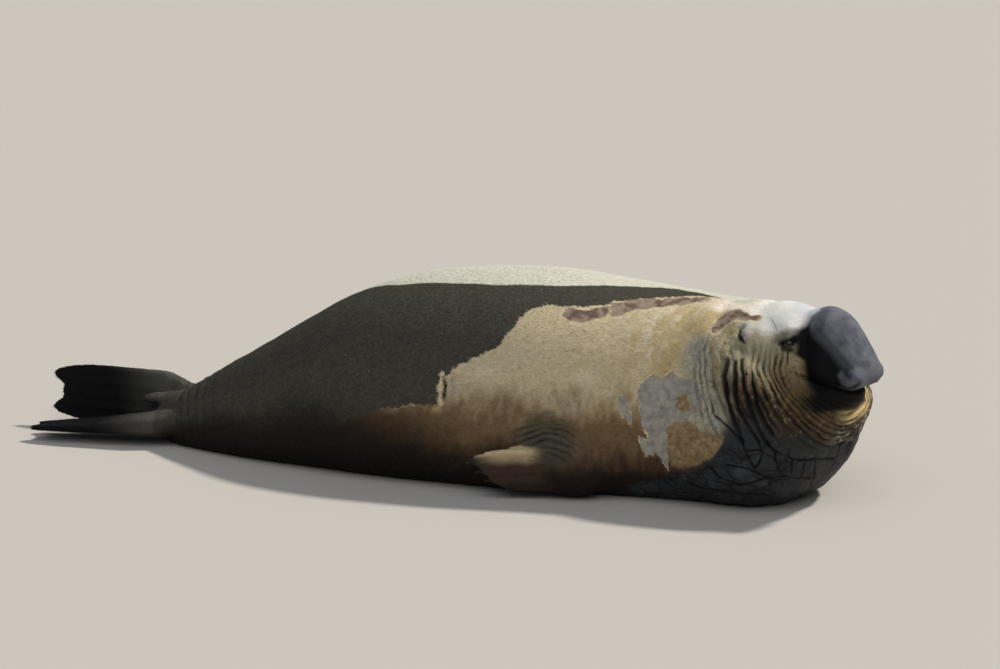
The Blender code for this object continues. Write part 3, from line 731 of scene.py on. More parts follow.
def set_camera(root):
    data = bpy.data.cameras.new("camera")
    data.sensor_width = SENSOR_MM
    data.lens = PX_PER_METRE * CAMERA_DISTANCE / PICTURE_WIDTH_PX * SENSOR_MM
    data.clip_end = 300
    camera = linked("camera", data)
    aim = root + Vector(CAMERA_AIM)
    look_at(camera, aim + direction(CAMERA_AZIMUTH, CAMERA_ELEVATION) * CAMERA_DISTANCE, aim)
    bpy.context.scene.camera = camera


def sun_light(name, azimuth, elevation, strength, angle, colour):
    data = bpy.data.lights.new(name, "SUN")
    data.angle = math.radians(angle)
    data.energy = strength
    data.color = colour
    look_at(linked(name, data), direction(math.radians(azimuth), math.radians(elevation)), (0, 0, 0))


def set_stage():
    """A plain pale floor, a soft high light from behind the seal's right front, and fill all round."""
    data = bpy.data.meshes.new("floor")
    data.from_pydata([(-FLOOR_HALF, -FLOOR_HALF, 0), (FLOOR_HALF, -FLOOR_HALF, 0), (FLOOR_HALF, FLOOR_HALF, 0), (-FLOOR_HALF, FLOOR_HALF, 0)], [], [(0, 1, 2, 3)])
    floor = linked("floor", data)
    floor.location.z = -0.0005
    material, shader = new_material("floor")
    shader.inputs["Base Color"].default_value = (*FLOOR_COLOUR, 1)
    shader.inputs["Roughness"].default_value = 0.9
    data.materials.append(material)
    for light in LIGHTS:
        sun_light(*light)
    world = bpy.data.worlds.new("sky")
    world.use_nodes = True
    background = world.node_tree.nodes["Background"]
    background.inputs["Color"].default_value = (*SKY_COLOUR, 1)
    background.inputs["Strength"].default_value = SKY_STRENGTH
    bpy.context.scene.world = world
    bpy.context.scene.view_settings.view_transform = "Standard"


def new_material(name):
    material = bpy.data.materials.new(name)
    material.use_nodes = True
    return material, material.node_tree.nodes["Principled BSDF"]


def smooth(low, high, values):
    """0 at low, 1 at high, eased between."""
    t = np.clip((values - low) / (high - low), 0, 1)
    return t * t * (3 - 2 * t)


def noise(points, size, seed=0):
    """Smooth random values from -1 to 1 that change over that size."""
    cells = points / size
    base = np.floor(cells)
    part = cells - base
    part = part * part * (3 - 2 * part)
    keys = [[(base[:, k].astype(np.int64) + step) * PRIMES[k] for step in (0, 1)] for k in range(3)]
    total = np.zeros(len(points))
    for corner in range(8):
        i, j, k = corner & 1, corner >> 1 & 1, corner >> 2
        weight = np.abs(1 - i - part[:, 0]) * np.abs(1 - j - part[:, 1]) * np.abs(1 - k - part[:, 2])
        total += weight * scrambled(keys[0][i] ^ keys[1][j] ^ keys[2][k], seed)
    return total


def scrambled(key, seed):
    """A random value from -1 to 1 for each whole-number key."""
    key = (key ^ (seed + 1) * 2654435761) & 0xFFFFFFFF
    key = (key ^ (key >> 15)) * 2246822519 & 0xFFFFFFFF
    key = (key ^ (key >> 13)) * 3266489917 & 0xFFFFFFFF
    return ((key ^ (key >> 16)) & 0xFFFF) / 32767.5 - 1


def lattice(cells, seed):
    """A random value from -1 to 1 for each whole-number cell."""
    return scrambled(cells[:, 0] * PRIMES[0] ^ cells[:, 1] * PRIMES[1] ^ cells[:, 2] * PRIMES[2], seed)


def rough_noise(points, size, seed=0, octaves=4):
    total = np.zeros(len(points))
    for i in range(octaves):
        total += noise(points, size / 2**i, seed + 7 * i) / 2**i
    return total / 1.5


def cell_edges(points, size, seed=0):
    """Distance from each point to the nearest border between random cells of about that size."""
    cells = points / size
    base = np.floor(cells).astype(np.int64)
    nearest = np.full((len(points), 2), 9.0)
    for i in range(27):
        step = base + np.array([i % 3 - 1, i // 3 % 3 - 1, i // 9 - 1])
        seeds = np.stack([lattice(step, seed + k) for k in range(3)], axis=1) * 0.42 + 0.5 + step
        reach = np.linalg.norm(seeds - cells, axis=1)
        closer = reach < nearest[:, 0]
        nearest[:, 1] = np.where(closer, nearest[:, 0], np.minimum(nearest[:, 1], reach))
        nearest[:, 0] = np.where(closer, reach, nearest[:, 0])
    return (nearest[:, 1] - nearest[:, 0]) * size / 2


def distance_to_path(points, path):
    """From each point to the nearest place on a line of straight runs."""
    best = np.full(len(points), np.inf)
    path = np.array(path, float)
    for a, b in zip(path[:-1], path[1:]):
        run = b - a
        t = np.clip((points - a) @ run / (run @ run), 0, 1)
        best = np.minimum(best, np.linalg.norm(points - a - t[:, None] * run, axis=1))
    return best


def in_outline(x, y, outline):
    """How far each point lies inside a closed outline, negative outside it."""
    outline = np.array(outline, float)
    inside = np.zeros(len(x), bool)
    best = np.full(len(x), np.inf)
    points = np.stack([x, y], axis=1)
    for a, b in zip(outline, np.roll(outline, -1, axis=0)):
        run = b - a
        t = np.clip((points - a) @ run / (run @ run), 0, 1)
        best = np.minimum(best, np.linalg.norm(points - a - t[:, None] * run, axis=1))
        crosses = (a[1] > y) != (b[1] > y)
        if run[1]:
            inside ^= crosses & (x < a[0] + run[0] * (y - a[1]) / run[1])
    return np.where(inside, best, -best)


class Places:
    """Points of the skin in the straight pose, with the measures that forms and markings are laid out by."""

    def __init__(self, points, limb):
        self.at = points
        self.limb = limb
        self.x, self.z = points[:, 0], points[:, 2]
        self.far = points[:, 1] > 0
        self.head = points - HEAD_ORIGIN
        self.mirrored = self.head.copy()
        self.mirrored[:, 1] = np.abs(self.head[:, 1])
        centre = np.interp(points[:, 0], (0.0, 0.8), (ANKLE_CENTRE, GIRTH_CENTRE))
        self.rise = np.degrees(np.arctan2(points[:, 2] - centre, np.abs(points[:, 1])))
        self.from_muzzle = np.linalg.norm(self.head - FOLD_CENTRE, axis=1)
        self.valleys = neck_valleys(self)
        self.cracks, self.plate_edges = shield_cracks(self)
        self.armpit = armpit_valleys(self)
        self.ankle = ankle_valleys(self)
        self.crust = rough_noise(points, 0.016, 53, 2)


def limb_share(points):
    """1 on tail and flippers, 0 on trunk and head, for points in the turned pose."""
    share = smooth(0.03, -0.04, points[:, 0])
    for way in (1, -1):
        along, across, off = in_paddle(points, FORE_FLIPPER, FORE_PLACE, -way)
        paddle = smooth(0.016, 0.006, off) * smooth(1.22, 1.10, np.abs(across)) * smooth(0.22, 0.42, along)
        share = np.maximum(share, paddle * (points[:, 1] * way < 0))
    return share


def ridges(phase, sharpness):
    """0 on the ridges of a train of folds and 1 in its valleys, the phase growing by 1 a fold."""
    return 1 - np.abs(np.sin(math.pi * phase)) ** sharpness


def seen_flat(points):
    """Points of the straight pose, bent and then nearly flattened along the photo's line of sight."""
    turned = bent(points)
    sight = np.array(direction(CAMERA_AZIMUTH, CAMERA_ELEVATION))
    return turned - (1 - SIGHT_SHARE) * (turned @ sight)[:, None] * sight


def along_paths(places, paths, width):
    """1 along paths on the right side of the neck and chest, and 0 away from them."""
    found = np.zeros(len(places.x))
    near = np.where((places.at[:, 1] < 0.15) & (places.x > 2.8))[0]
    at = places.at[near]
    spots = seen_flat(at) + 0.005 * np.stack([noise(at, 0.045, 70 + k) for k in range(3)], axis=1)
    uneven = width * (1 + 0.35 * noise(at, 0.07, 73))
    for path in paths:
        reach = distance_to_path(spots, seen_flat(np.array(path)))
        found[near] = np.maximum(found[near], np.exp(-((reach / uneven) ** 2)))
    return found


def neck_valleys(places):
    """How deep each place lies in the folds that circle the muzzle, from 0 to 1."""
    along = places.at * (1.0, 0.32, 0.32)
    rings = np.stack([places.from_muzzle, 0.16 * places.head[:, 1], 0.16 * places.head[:, 2]], axis=1)
    warp = 0.62 * noise(along, 0.13, 1) + 0.26 * noise(places.at, 0.07, 2) + 0.13 * noise(places.at, 0.028, 18)
    warp = warp + 0.36 * noise(rings, 0.055, 26)
    phase = np.log(FOLD_STEP_START + FOLD_STEP_GROWTH * places.from_muzzle) / FOLD_STEP_GROWTH + warp
    main = ridges(phase, 0.95) * (0.66 + 0.50 * noise(along, 0.055, 14) + 0.42 * noise(rings, 0.045, 27))
    small = ridges(2.3 * phase + 0.8 * noise(places.at, 0.08, 3), 0.7) * (0.5 + 0.6 * noise(along, 0.05, 15))
    under_jaw = smooth(-0.20, -0.26, places.head[:, 2])
    start = FOLDS_FROM - 0.09 * under_jaw
    span = smooth(0, 0.08, places.from_muzzle - start) * smooth(FOLDS_TO, FOLDS_TO - 0.26, places.from_muzzle)
    below_ear = smooth(0.05, -0.07, places.head[:, 2] + 0.10 * places.head[:, 0])
    above_shield = smooth(-0.03, 0.04, places.z - shield_top(places))
    strength = span * below_ear * above_shield * (0.85 + 0.3 * noise(places.at, 0.2, 4))
    strength = strength * (0.9 + 0.35 * noise(places.at * (1.0, 0.6, 0.6), 0.022, 24))
    deep = along_paths(places, DEEP_FOLDS, DEEP_FOLD_WIDTH)
    return np.maximum(strength * np.clip(main + 0.45 * small, 0, 1.2), 1.3 * deep)


def neck_share(places):
    """1 on the rough, thinly haired skin of neck and cheeks."""
    share = smooth(2.84, 2.97, places.x - 0.25 * smooth(0.75, 0.92, places.z) + 0.02 * places.crust)
    forehead = smooth(0.0, 0.12, places.head[:, 0]) * smooth(-0.10, 0.0, places.head[:, 2])
    return share * (1 - forehead) * (1 - shield_share(places)) * smooth(0.22, 0.28, places.from_muzzle)


def shield_top(places):
    return np.interp(places.x, SHIELD_X, SHIELD_Z)


def shield_share(places):
    """1 on the thick, cracked shield of the chest."""
    edge = shield_top(places) + 0.012 * rough_noise(places.at, 0.07, 5) + 0.022 * noise(places.at, 0.16, 23)
    return smooth(-0.010, 0.012, edge - places.z) * smooth(2.50, 2.60, places.x)


def shield_cracks(places):
    """How deep each place lies in the cracks between the shield's plates, and how far below their crowns."""
    cracks, edges = np.zeros((2, len(places.x)))
    share = shield_share(places)
    near = np.where(share > 0)[0]
    at = places.at[near]
    stir = np.stack([0.030 * noise(at, 0.16, 6 + k) + 0.008 * noise(at, 0.05, 16 + k) for k in range(3)], axis=1)
    stirred = (at + stir) * (0.74, 0.9, 1.0)
    edge = cell_edges(stirred, PLATE_LARGE, 9)
    uneven = 0.50 + 0.75 * noise(at, 0.10, 19)
    large = np.exp(-((edge / 0.0032) ** 2)) * np.clip(uneven, 0.06, 1)
    small = np.exp(-((cell_edges(stirred * (1.0, 1.0, 1.4), PLATE_SMALL, 13) / 0.0020) ** 2))
    small = small * smooth(-0.2, 0.6, noise(at, 0.10, 17))
    slanted = np.stack([0.55 * (at[:, 0] + at[:, 2]), 0.7 * at[:, 1], 1.1 * (at[:, 2] - 0.5 * at[:, 0])], axis=1)
    lines = np.exp(-((rough_noise(slanted, 0.11, 28, 2) / 0.045) ** 2)) * smooth(-0.1, 0.4, noise(at, 0.16, 29))
    fainter = 1 - 0.35 * smooth(0.05, -0.1, at[:, 1]) * smooth(2.9, 3.1, at[:, 0])
    cracks[near] = np.max([large * fainter, 0.5 * small, 0.85 * lines * fainter], axis=0) * share[near]
    cracks = np.maximum(cracks, 1.2 * along_paths(places, LONG_CRACKS, LONG_CRACK_WIDTH))
    edges[near] = smooth(0.020, 0.0, edge) * share[near]
    return cracks, edges


def armpit_valleys(places):
    offset = places.at[:, [0, 2]] - ARMPIT
    reach = np.linalg.norm(offset * (0.85, 1.0), axis=1)
    warp = 0.8 * noise(places.at, 0.12, 11) + 0.25 * noise(places.at, 0.045, 43)
    valley = ridges(reach / ARMPIT_STEP + warp, 0.7) * (0.7 + 0.5 * noise(places.at, 0.06, 44))
    span = smooth(0.06, 0.11, reach) * smooth(0.29, 0.17, reach)
    over = smooth(0.0, 0.08, offset[:, 1]) * smooth(-0.27, -0.14, offset[:, 0]) * smooth(0.24, 0.08, offset[:, 0])
    return valley * span * over * (np.abs(places.at[:, 1]) > 0.4)


def ankle_valleys(places):
    phase = (places.x + 0.25 * places.z) / ANKLE_STEP + 0.8 * noise(places.at * (1.0, 0.4, 0.4), 0.09, 12)
    uneven = 0.7 + 0.5 * noise(places.at, 0.05, 45)
    return ridges(phase, 0.7) * uneven * smooth(0.0, 0.07, places.x) * smooth(0.36, 0.18, places.x)


def head_relief(places):
    """Height of the swellings and creases that both sides of the head carry."""
    relief = np.zeros(len(places.at))
    near = np.where((places.head[:, 0] > -0.3) & (places.head[:, 2] > -0.5))[0]
    spots = places.mirrored[near]
    height = np.zeros(len(near))
    for centre, radii, rise in HEAD_BUMPS:
        height += rise * np.exp(-np.sum(((spots - centre) / radii) ** 2, axis=1))
    for path, width, depth in HEAD_CREASES:
        height -= depth * np.exp(-((distance_to_path(spots, path) / width) ** 2))
    centre, width, depth = NOSTRIL
    height -= depth * np.exp(-((np.linalg.norm(spots - centre, axis=1) / width) ** 2))
    relief[near] = height
    return relief


def mouth_relief(places):
    """The closed slit of the mouth, with a rolled lip on each side of it."""
    normal = (math.sin(MOUTH_TIP), 0, math.cos(MOUTH_TIP))
    off = (places.head - MOUTH_PLACE) @ normal + 0.004 * noise(places.at, 0.05, 13)
    front = smooth(0.345, 0.385, places.head[:, 0] + 0.25 * np.abs(places.head[:, 1]))
    front = front * smooth(0.20, 0.17, np.abs(places.head[:, 1]))
    slit = -0.016 * np.exp(-((off / 0.0055) ** 2))
    lips = 0.0045 * np.exp(-(((np.abs(off) - 0.016) / 0.009) ** 2))
    return front * (slit + lips)


def blubber(places):
    """Soft unevenness of the blubber under the hide."""
    return 0.004 * noise(places.at, 0.30, 20) + 0.0022 * noise(places.at, 0.11, 21) + 0.0008 * noise(places.at, 0.045, 22)


def eye_axes(way):
    """The eye's centre in the head's axes, and its directions outward, forward and up."""
    centre = np.array(EYE_PLACE) * (1, way, 1)
    outward = Vector(EYE_OUTWARD)
    outward.y *= way
    outward.normalize()
    level = Vector((1, 0, 0)).cross(outward).cross(outward).normalized()
    level = level if level.x > 0 else -level
    upward = outward.cross(level)
    upward = upward if upward.z > 0 else -upward
    return centre, outward, level, upward


def open_lids(head_points):
    """Sets the skin back behind each globe within an almond, and draws lids over the globe round it."""
    for way in (1, -1):
        centre, outward, level, upward = eye_axes(way)
        offset = head_points - centre
        near = np.where(np.linalg.norm(offset, axis=1) < 0.09)[0]
        along, up, out = (offset[near] @ np.array(axis) for axis in (level, upward, outward))
        lid = np.where(up > 0, EYE_OPENING[1], 0.8 * EYE_OPENING[1])
        almond = (np.abs(along / EYE_OPENING[0]) ** 1.7 + np.abs(up / lid) ** 1.7) ** (1 / 1.7)
        globe = np.sqrt(np.clip(EYE_RADIUS**2 - along**2 - up**2, 1e-6, None))
        rim = globe + 0.003 + 0.0028 * np.exp(-(((almond - 1.45) / 0.32) ** 2))
        lid = np.maximum(out, rim)
        lid = out + (lid - out) * smooth(3.0, 1.6, almond)
        open_share = smooth(1.14, 0.94, almond)
        moved = lid + (globe - 0.010 - lid) * open_share
        head_points[near] += (moved - out)[:, None] * np.array(outward)
    return head_points


def refine(obj, inside):
    """Cuts in four every face whose points all lie inside."""
    bm = bmesh.new()
    bm.from_mesh(obj.data)
    bm.verts.ensure_lookup_table()
    edges = [edge for edge in bm.edges if inside[edge.verts[0].index] and inside[edge.verts[1].index]]
    bmesh.ops.subdivide_edges(bm, edges=edges, cuts=1, use_grid_fill=True)
    bm.to_mesh(obj.data)
    bm.free()
    obj.data.update()


def relax(obj, steps):
    relaxing = obj.modifiers.new("relax", "SMOOTH")
    relaxing.factor = 0.5
    relaxing.iterations = steps
    return apply_modifiers(obj)


def sculpted(obj):
    """Gives the skin its folds, cracks, lids and lips, on a mesh that is finer in front and finest round the eyes."""
    straight = straightened(points_of(obj.data))
    refine(obj, (straight[:, 0] > FINE_FROM_X) & (straight[:, 2] > 0.02))
    relax(obj, 2)
    head = np.abs(straightened(points_of(obj.data)) - HEAD_ORIGIN)
    refine(obj, np.linalg.norm(head - np.abs(EYE_PLACE), axis=1) < EYE_ZONE)
    relax(obj, 1)
    turned = points_of(obj.data)
    places = Places(straightened(turned), limb_share(turned))
    folds = FOLD_DEPTH * places.valleys + CRACK_DEPTH * places.cracks + PLATE_SWELL * places.plate_edges
    folds += ARMPIT_DEPTH * places.armpit + ANKLE_DEPTH * places.ankle
    height = (blubber(places) - folds) * (1 - places.limb) + head_relief(places) + mouth_relief(places)
    height += CRUST_HEIGHT * places.crust * neck_share(places)
    turned += normals_of(obj.data) * height[:, None]
    head = straightened(turned) - HEAD_ORIGIN
    turned = bent(open_lids(head) + HEAD_ORIGIN)
    turned[:, 2] = np.maximum(turned[:, 2], 0)
    set_points(obj.data, turned)
    return places


def linear(name):
    """A named colour as linear light."""
    value = np.array(COLOURS[name]) / 255
    return np.where(value <= 0.04045, value / 12.92, ((value + 0.055) / 1.055) ** 2.4)


def over(colours, name, share):
    """The named colour laid over the colours, as far as the share of each place says."""
    return colours + (linear(name) - colours) * np.clip(share, 0, 1)[:, None]


def around(places):
    """Places along and round the body as two lengths, changed on the far side so that it isn't a mirror image."""
    x = places.x - places.far * (0.09 + 0.06 * noise(places.at, 0.6, 40))
    rise = places.rise + places.far * (5 + 7 * noise(places.at, 0.5, 41))
    return x, rise


def patch_reach(x, rise, outline):
    """Metres inside an outline given along the body and in degrees of rise, negative outside it."""
    return in_outline(x, rise * DEGREE, [(corner[0], corner[1] * DEGREE) for corner in outline])


def zones(places):
    """Metres inside the new dark coat, inside bare skin and inside the pale band of the back, which is partly pale
    coat and partly painted highlight.
    """
    x, rise = around(places)
    new_coat = (rise - np.interp(x, NEW_COAT_X, NEW_COAT_RISE)) * DEGREE
    bare = patch_reach(x, rise, BARE_PATCH)
    for outline in ISLANDS:
        bare = np.minimum(bare, -patch_reach(x, rise, outline))
    for outline in SLITS:
        bare = np.maximum(bare, patch_reach(x, rise, outline))
    new_coat = np.minimum(new_coat, path_reach(x, rise, CRESCENT_RIM) - 0.012)
    across = places.at[:, 1]
    # Pale band of the back: partly pale coat, partly painted highlight
    sway = 0.05 * noise(places.at, 0.26, 46) + 0.02 * rough_noise(places.at, 0.07, 47)
    sway = sway * smooth(PALE_LIT_BAND_X[0], PALE_LIT_BAND_X[5], places.x)
    right, left = (np.interp(places.x, PALE_LIT_BAND_X, edge) for edge in (PALE_LIT_BAND_RIGHT, PALE_LIT_BAND_LEFT))
    pale_lit_band = np.minimum(across - right, left + sway - across)
    pale_lit_band = np.where((places.z > 0.7) & (places.x > PALE_LIT_BAND_X[0]), pale_lit_band, -0.5)
    pale_lit_band = np.minimum(pale_lit_band, (PALE_LIT_BAND_X[-1] + 0.06 - places.x) * 0.5)
    return new_coat, bare, pale_lit_band


def path_reach(x, rise, path):
    """Metres from a path given along the body and in degrees of rise."""
    flat = np.stack([x, rise * DEGREE], axis=1)
    return distance_to_path(flat, [(along, up * DEGREE) for along, up in path])


def tapered_reach(spots, path, widths, count=24):
    """Metres outside a rope of changing half width laid along the path."""
    knots = np.linspace(0, 1, len(path))
    best = np.full(len(spots), np.inf)
    for t in np.linspace(0, 1, count):
        centre = [np.interp(t, knots, [place[k] for place in path]) for k in range(3)]
        best = np.minimum(best, np.linalg.norm(spots - centre, axis=1) - np.interp(t, knots, widths))
    return best


def old_coat(places):
    """The faded coat of the flank, browner low down, then near black at the bottom and at the low rear, partly the
    coat's colour and partly painted shade.
    """
    broad = noise(places.at, 0.35, 32)
    ragged = rough_noise(places.at, 0.09, 30, 4)
    fine = rough_noise(places.at, 0.03, 31, 2)
    colours = np.tile(linear("old coat"), (len(places.x), 1))
    colours = over(colours, "old coat pale", smooth(-0.1, 0.9, broad + 0.5 * ragged))
    ochre = 0.3 * np.abs(places.x - 2.0) + 0.5 * noise(places.at, 0.2, 35)
    colours = over(colours, "old coat yellow", 0.85 * smooth(0.0, 0.7, ochre + 0.25 * fine))
    streaks = rough_noise(places.at * (1.0, 0.3, 0.3), 0.04, 38, 3)
    front = smooth(2.30, 2.60, places.x)
    colours = over(colours, "old coat yellow", 0.6 * front * smooth(-0.1, 0.5, streaks + 0.4 * broad))
    pits = smooth(0.40, 0.75, rough_noise(places.at, 0.024, 36, 2)) * smooth(-0.1, 0.5, noise(places.at, 0.14, 37))
    colours = over(colours, "old coat brown", 0.65 * pits)
    # Painted shade, partly brown coat: browner and then near black towards the bottom of the flank, and darker low at
    # the rear
    low = places.z + 0.06 * ragged - 0.03 * broad + 0.06 * rough_noise(places.at * (1.0, 0.6, 0.5), 0.024, 39, 2)
    colours = over(colours, "old coat brown", smooth(0.60, 0.37, low))
    colours = over(colours, "old coat dark and shade", smooth(0.38, 0.12, low))
    return over(colours, "old coat dark and shade", 0.8 * smooth(1.75, 1.2, places.x) * smooth(0.5, 0.3, places.z))


def neck_colours(colours, places, valleys):
    """Grey-green skin behind the ears, then ochre ridges that turn brown and orange low down, over dark valleys of
    painted shade. The crust is painted paler on its crests and darker in its dips, and the neck darkens towards the
    shield, partly painted shade.
    """
    up = places.head[:, 2]
    broad = noise(places.at, 0.22, 50)
    ragged = rough_noise(places.at, 0.06, 51, 4)
    streaks = rough_noise(places.at * (1.0, 0.3, 0.3), 0.03, 52, 3)
    start = places.x - 0.25 * smooth(0.75, 0.92, places.z) + 0.05 * ragged
    above = smooth(0.36, 0.46, places.z + 0.02 * ragged)
    grey = smooth(2.82, 2.98, start + 0.05 * streaks) * above
    colours = over(colours, "neck grey", grey)
    colours = over(colours, "shield light", 0.28 * grey * smooth(0.0, 0.7, ragged + 0.5 * streaks))
    crust = places.crust
    # Painted highlight and shade of the crust: paler on its crests, darker in its dips
    colours = over(colours, "fold ridge", grey * np.maximum(0.45 * smooth(0.1, 0.8, streaks), 0.7 * smooth(0.15, 0.5, crust)))
    colours = over(colours, "fold low", 0.45 * grey * smooth(0.2, 0.6, -crust))
    near = smooth(0.70, 0.56, places.from_muzzle + 0.05 * ragged)
    colours = over(colours, "fold ridge", near * (0.8 + 0.3 * streaks))
    low = smooth(-0.09, -0.25, up + 0.05 * broad) * smooth(0.70, 0.54, places.from_muzzle + 0.04 * ragged)
    colours = over(colours, "fold low", 0.95 * low)
    orange = smooth(0.15, 0.7, streaks + 0.3 * broad) * smooth(-0.06, -0.20, up)
    colours = over(colours, "fold orange", 0.65 * orange * smooth(0.60, 0.45, places.from_muzzle))
    # Painted highlight and shade of the crust again, in the low jowl and near the muzzle
    colours = over(colours, "fold ridge", 0.6 * low * smooth(0.25, 0.6, crust))
    colours = over(colours, "fold low", 0.65 * near * smooth(0.20, 0.6, -crust))
    # Painted shade in the fold valleys, deeper low down
    depth = 0.55 + 0.45 * smooth(0.0, -0.13, up)
    colours = over(colours, "fold valley", depth * np.clip(1.7 * valleys - 0.12, 0, 1))
    # Darker towards the shield low on the neck, partly painted shade
    above_shield = places.z - shield_top(places) + 0.06 * ragged
    near_shield = smooth(0.15, 0.02, above_shield) * smooth(2.95, 3.15, places.x)
    return over(colours, "shield", 0.85 * near_shield)


def head_colours(colours, places):
    """Pale forehead and cheek, dark muzzle and jaw, and slate proboscis. Muzzle and jaw are near black, partly dark
    skin and partly painted shade; the proboscis is painted lit on its top and nostril lobe and stays in painted shade
    on its side below the valley; the pale throat is partly painted light.
    """
    f, s, u = places.mirrored.T
    ragged = rough_noise(places.at, 0.05, 55, 4)
    broad = noise(places.at, 0.16, 56)
    face = smooth(-0.02, 0.06, f + 0.03 * ragged)
    valley = np.clip(1.3 * places.valleys - 0.1, 0, 1)
    cheek = face * smooth(-0.15, -0.02, u - 0.25 * (f - 0.2) + 0.04 * ragged)
    colours = over(colours, "cheek", 0.85 * cheek * (1 - 0.6 * valley))
    brown = smooth(0.20, 0.30, f) * smooth(-0.05, -0.13, u + 0.03 * ragged) * (1 - 0.7 * valley)
    colours = over(colours, "cheek brown", 0.5 * brown * smooth(0.42, 0.33, places.from_muzzle))
    nape = smooth(0.60, 0.66, places.z - 0.1 * f + 0.02 * ragged + 0.14 * smooth(0.17, 0.12, s))
    nape = nape * smooth(-0.34, -0.16, f + 0.03 * ragged) * smooth(0.17, 0.11, s + 0.02 * ragged)
    nape = nape * smooth(0.14, 0.06, f)
    colours = over(colours, "nape", nape)
    brow = u + 0.15 * f + 0.02 * ragged
    colours = over(colours, "forehead", smooth(-0.03, 0.05, f + 0.02 * ragged) * smooth(0.03, 0.105, brow))
    colours = over(colours, "forehead blue", 0.8 * face * smooth(0.0, 0.6, broad) * smooth(0.06, 0.12, brow))
    side = places.head[:, 1] + 0.05 * ragged
    under = smooth(-0.17, -0.22, u + 0.25 * (0.5 - f)) * smooth(-0.16, -0.02, side)
    reach = places.from_muzzle + 0.02 * ragged
    speckled = smooth(0.26, 0.29, reach) * smooth(0.44, 0.36, reach) * smooth(-0.1, 0.4, rough_noise(places.at, 0.018, 60, 2))
    colours = over(colours, "neck grey", 0.75 * under * speckled * (1 - valley))
    # Pale yellow throat under the jaw's far half, partly painted light
    throat = under * smooth(0.295, 0.255, reach) * smooth(0.42, 0.22, side)
    colours = over(colours, "throat", throat * (1 - 0.8 * valley))
    # Muzzle and jaw near black, partly dark skin and partly painted shade
    reach = f - np.interp(u, MUZZLE_UP, MUZZLE_FROM) + 0.010 * ragged
    muzzle = smooth(-0.040, 0.020, reach) ** 1.5
    jaw_line = u + 0.25 * (f - 0.465)
    jaw = muzzle * smooth(0.17, 0.13, np.maximum(places.head[:, 1], 0))
    colours = over(colours, "jaw", jaw * smooth(-0.165, -0.19, jaw_line) * (1 - 0.3 * smooth(-0.28, -0.33, u)))
    muzzle = muzzle * smooth(-0.20, -0.17, jaw_line)
    colours = over(colours, "muzzle", muzzle)
    # Painted light and shade on the proboscis: grey on its top, near its ridge and on the nostril lobe, near black as
    # painted shade on its side below the valley
    shade_line = u + 0.83 * (f - 0.42)
    top = np.maximum(smooth(0.0, 0.06, shade_line + 0.01 * broad), smooth(0.10, 0.06, s))
    lobe = smooth(0.060, 0.035, np.linalg.norm(places.mirrored - (0.590, 0.105, -0.125), axis=1))
    top = np.maximum(top, 0.8 * lobe) * smooth(-0.20, -0.15, jaw_line)
    colours = over(colours, "proboscis", muzzle * top)
    mottle = smooth(-0.3, 0.7, ragged + 0.3 * broad)
    return over(colours, "proboscis dark", muzzle * top * 0.7 * mottle)


def face_marks(colours, places):
    """The scar behind the ear, the ear itself, the crease behind the ear painted dark as shade, and the dark marks
    round the eye, most of them painted shade.
    """
    near = np.where((places.head[:, 0] > -0.25) & (places.head[:, 2] > -0.4))[0]
    spots = places.mirrored[near]
    fine = rough_noise(places.at[near], 0.03, 59, 4)
    found = colours[near]
    reach = tapered_reach(spots, EAR_SCAR, EAR_SCAR_WIDTHS) + 0.014 * fine
    found = over(found, "rim", 0.75 * smooth(0.018, 0.005, reach))
    found = over(found, "scar", smooth(0.004, -0.004, reach))
    speckle = smooth(-0.2, 0.3, fine + 0.8 * places.crust[near])
    found = over(found, "scar dark", smooth(0.004, -0.004, reach) * speckle)
    ear = np.linalg.norm((spots - HEAD_BUMPS[0][0]) / HEAD_BUMPS[0][1], axis=1)
    found = over(found, "ear", 0.85 * smooth(1.3, 0.7, ear))
    # Painted shade in the crease behind the ear
    reach = tapered_reach(spots, EAR_CREASE, EAR_CREASE_WIDTHS) + 0.002 * fine
    found = over(found, "dark mark and shade", 0.95 * smooth(0.004, -0.003, reach))
    # Dark marks, most of them painted shade of the brow, the creases and the proboscis
    for path, width, strength in FACE_MARKS:
        reach = distance_to_path(spots, path) + 0.25 * width * fine
        found = over(found, "dark mark and shade", strength * smooth(1.4 * width, 0.4 * width, reach))
    colours[near] = found
    return colours


def limb_colours(colours, places):
    """Hind flippers near black, partly painted shade, and paler towards their roots and tops, partly painted
    highlight; brown fore flippers in painted shade, with a pale upper rim of painted highlight, darker towards the
    lower edge as painted shade, and dark toes.
    """
    hind = places.limb * (places.x < 1)
    ragged = noise(places.at, 0.06, 63)
    # Hind flippers near black, partly painted shade; paler towards the root and the top, partly painted highlight
    colours = over(colours, "flipper", hind)
    root = smooth(-0.36, 0.02, places.x + 0.25 * (places.z - 0.2))
    colours = over(colours, "flipper root pale and lit", hind * root)
    for way in (1, -1):
        along, across, off = in_paddle(places.at, FORE_FLIPPER, FORE_PLACE, -way)
        beyond = smooth(0.12, 0.45, along + 0.05 * ragged) * smooth(1.05, 0.98, np.abs(across))
        paddle = smooth(0.014, 0.005, off) * beyond * (places.at[:, 1] * way < 0)
        # Painted light and shade on the fore flipper: brown as in shade, a pale lit upper rim, darker towards the
        # lower edge
        colours = over(colours, "fore flipper shaded", 0.9 * paddle)
        rim = smooth(-0.20, -0.95, across + 0.06 * ragged) * smooth(0.26, 0.50, along)
        colours = over(colours, "fore flipper lit rim", 0.85 * paddle * rim)
        colours = over(colours, "old coat dark and shade", paddle * smooth(0.2, 1.0, across))
        toes = smooth(0.80, 0.95, along + 0.03 * ragged) * smooth(-0.90, -0.60, across)
        colours = over(colours, "toes", paddle * toes)
    return colours


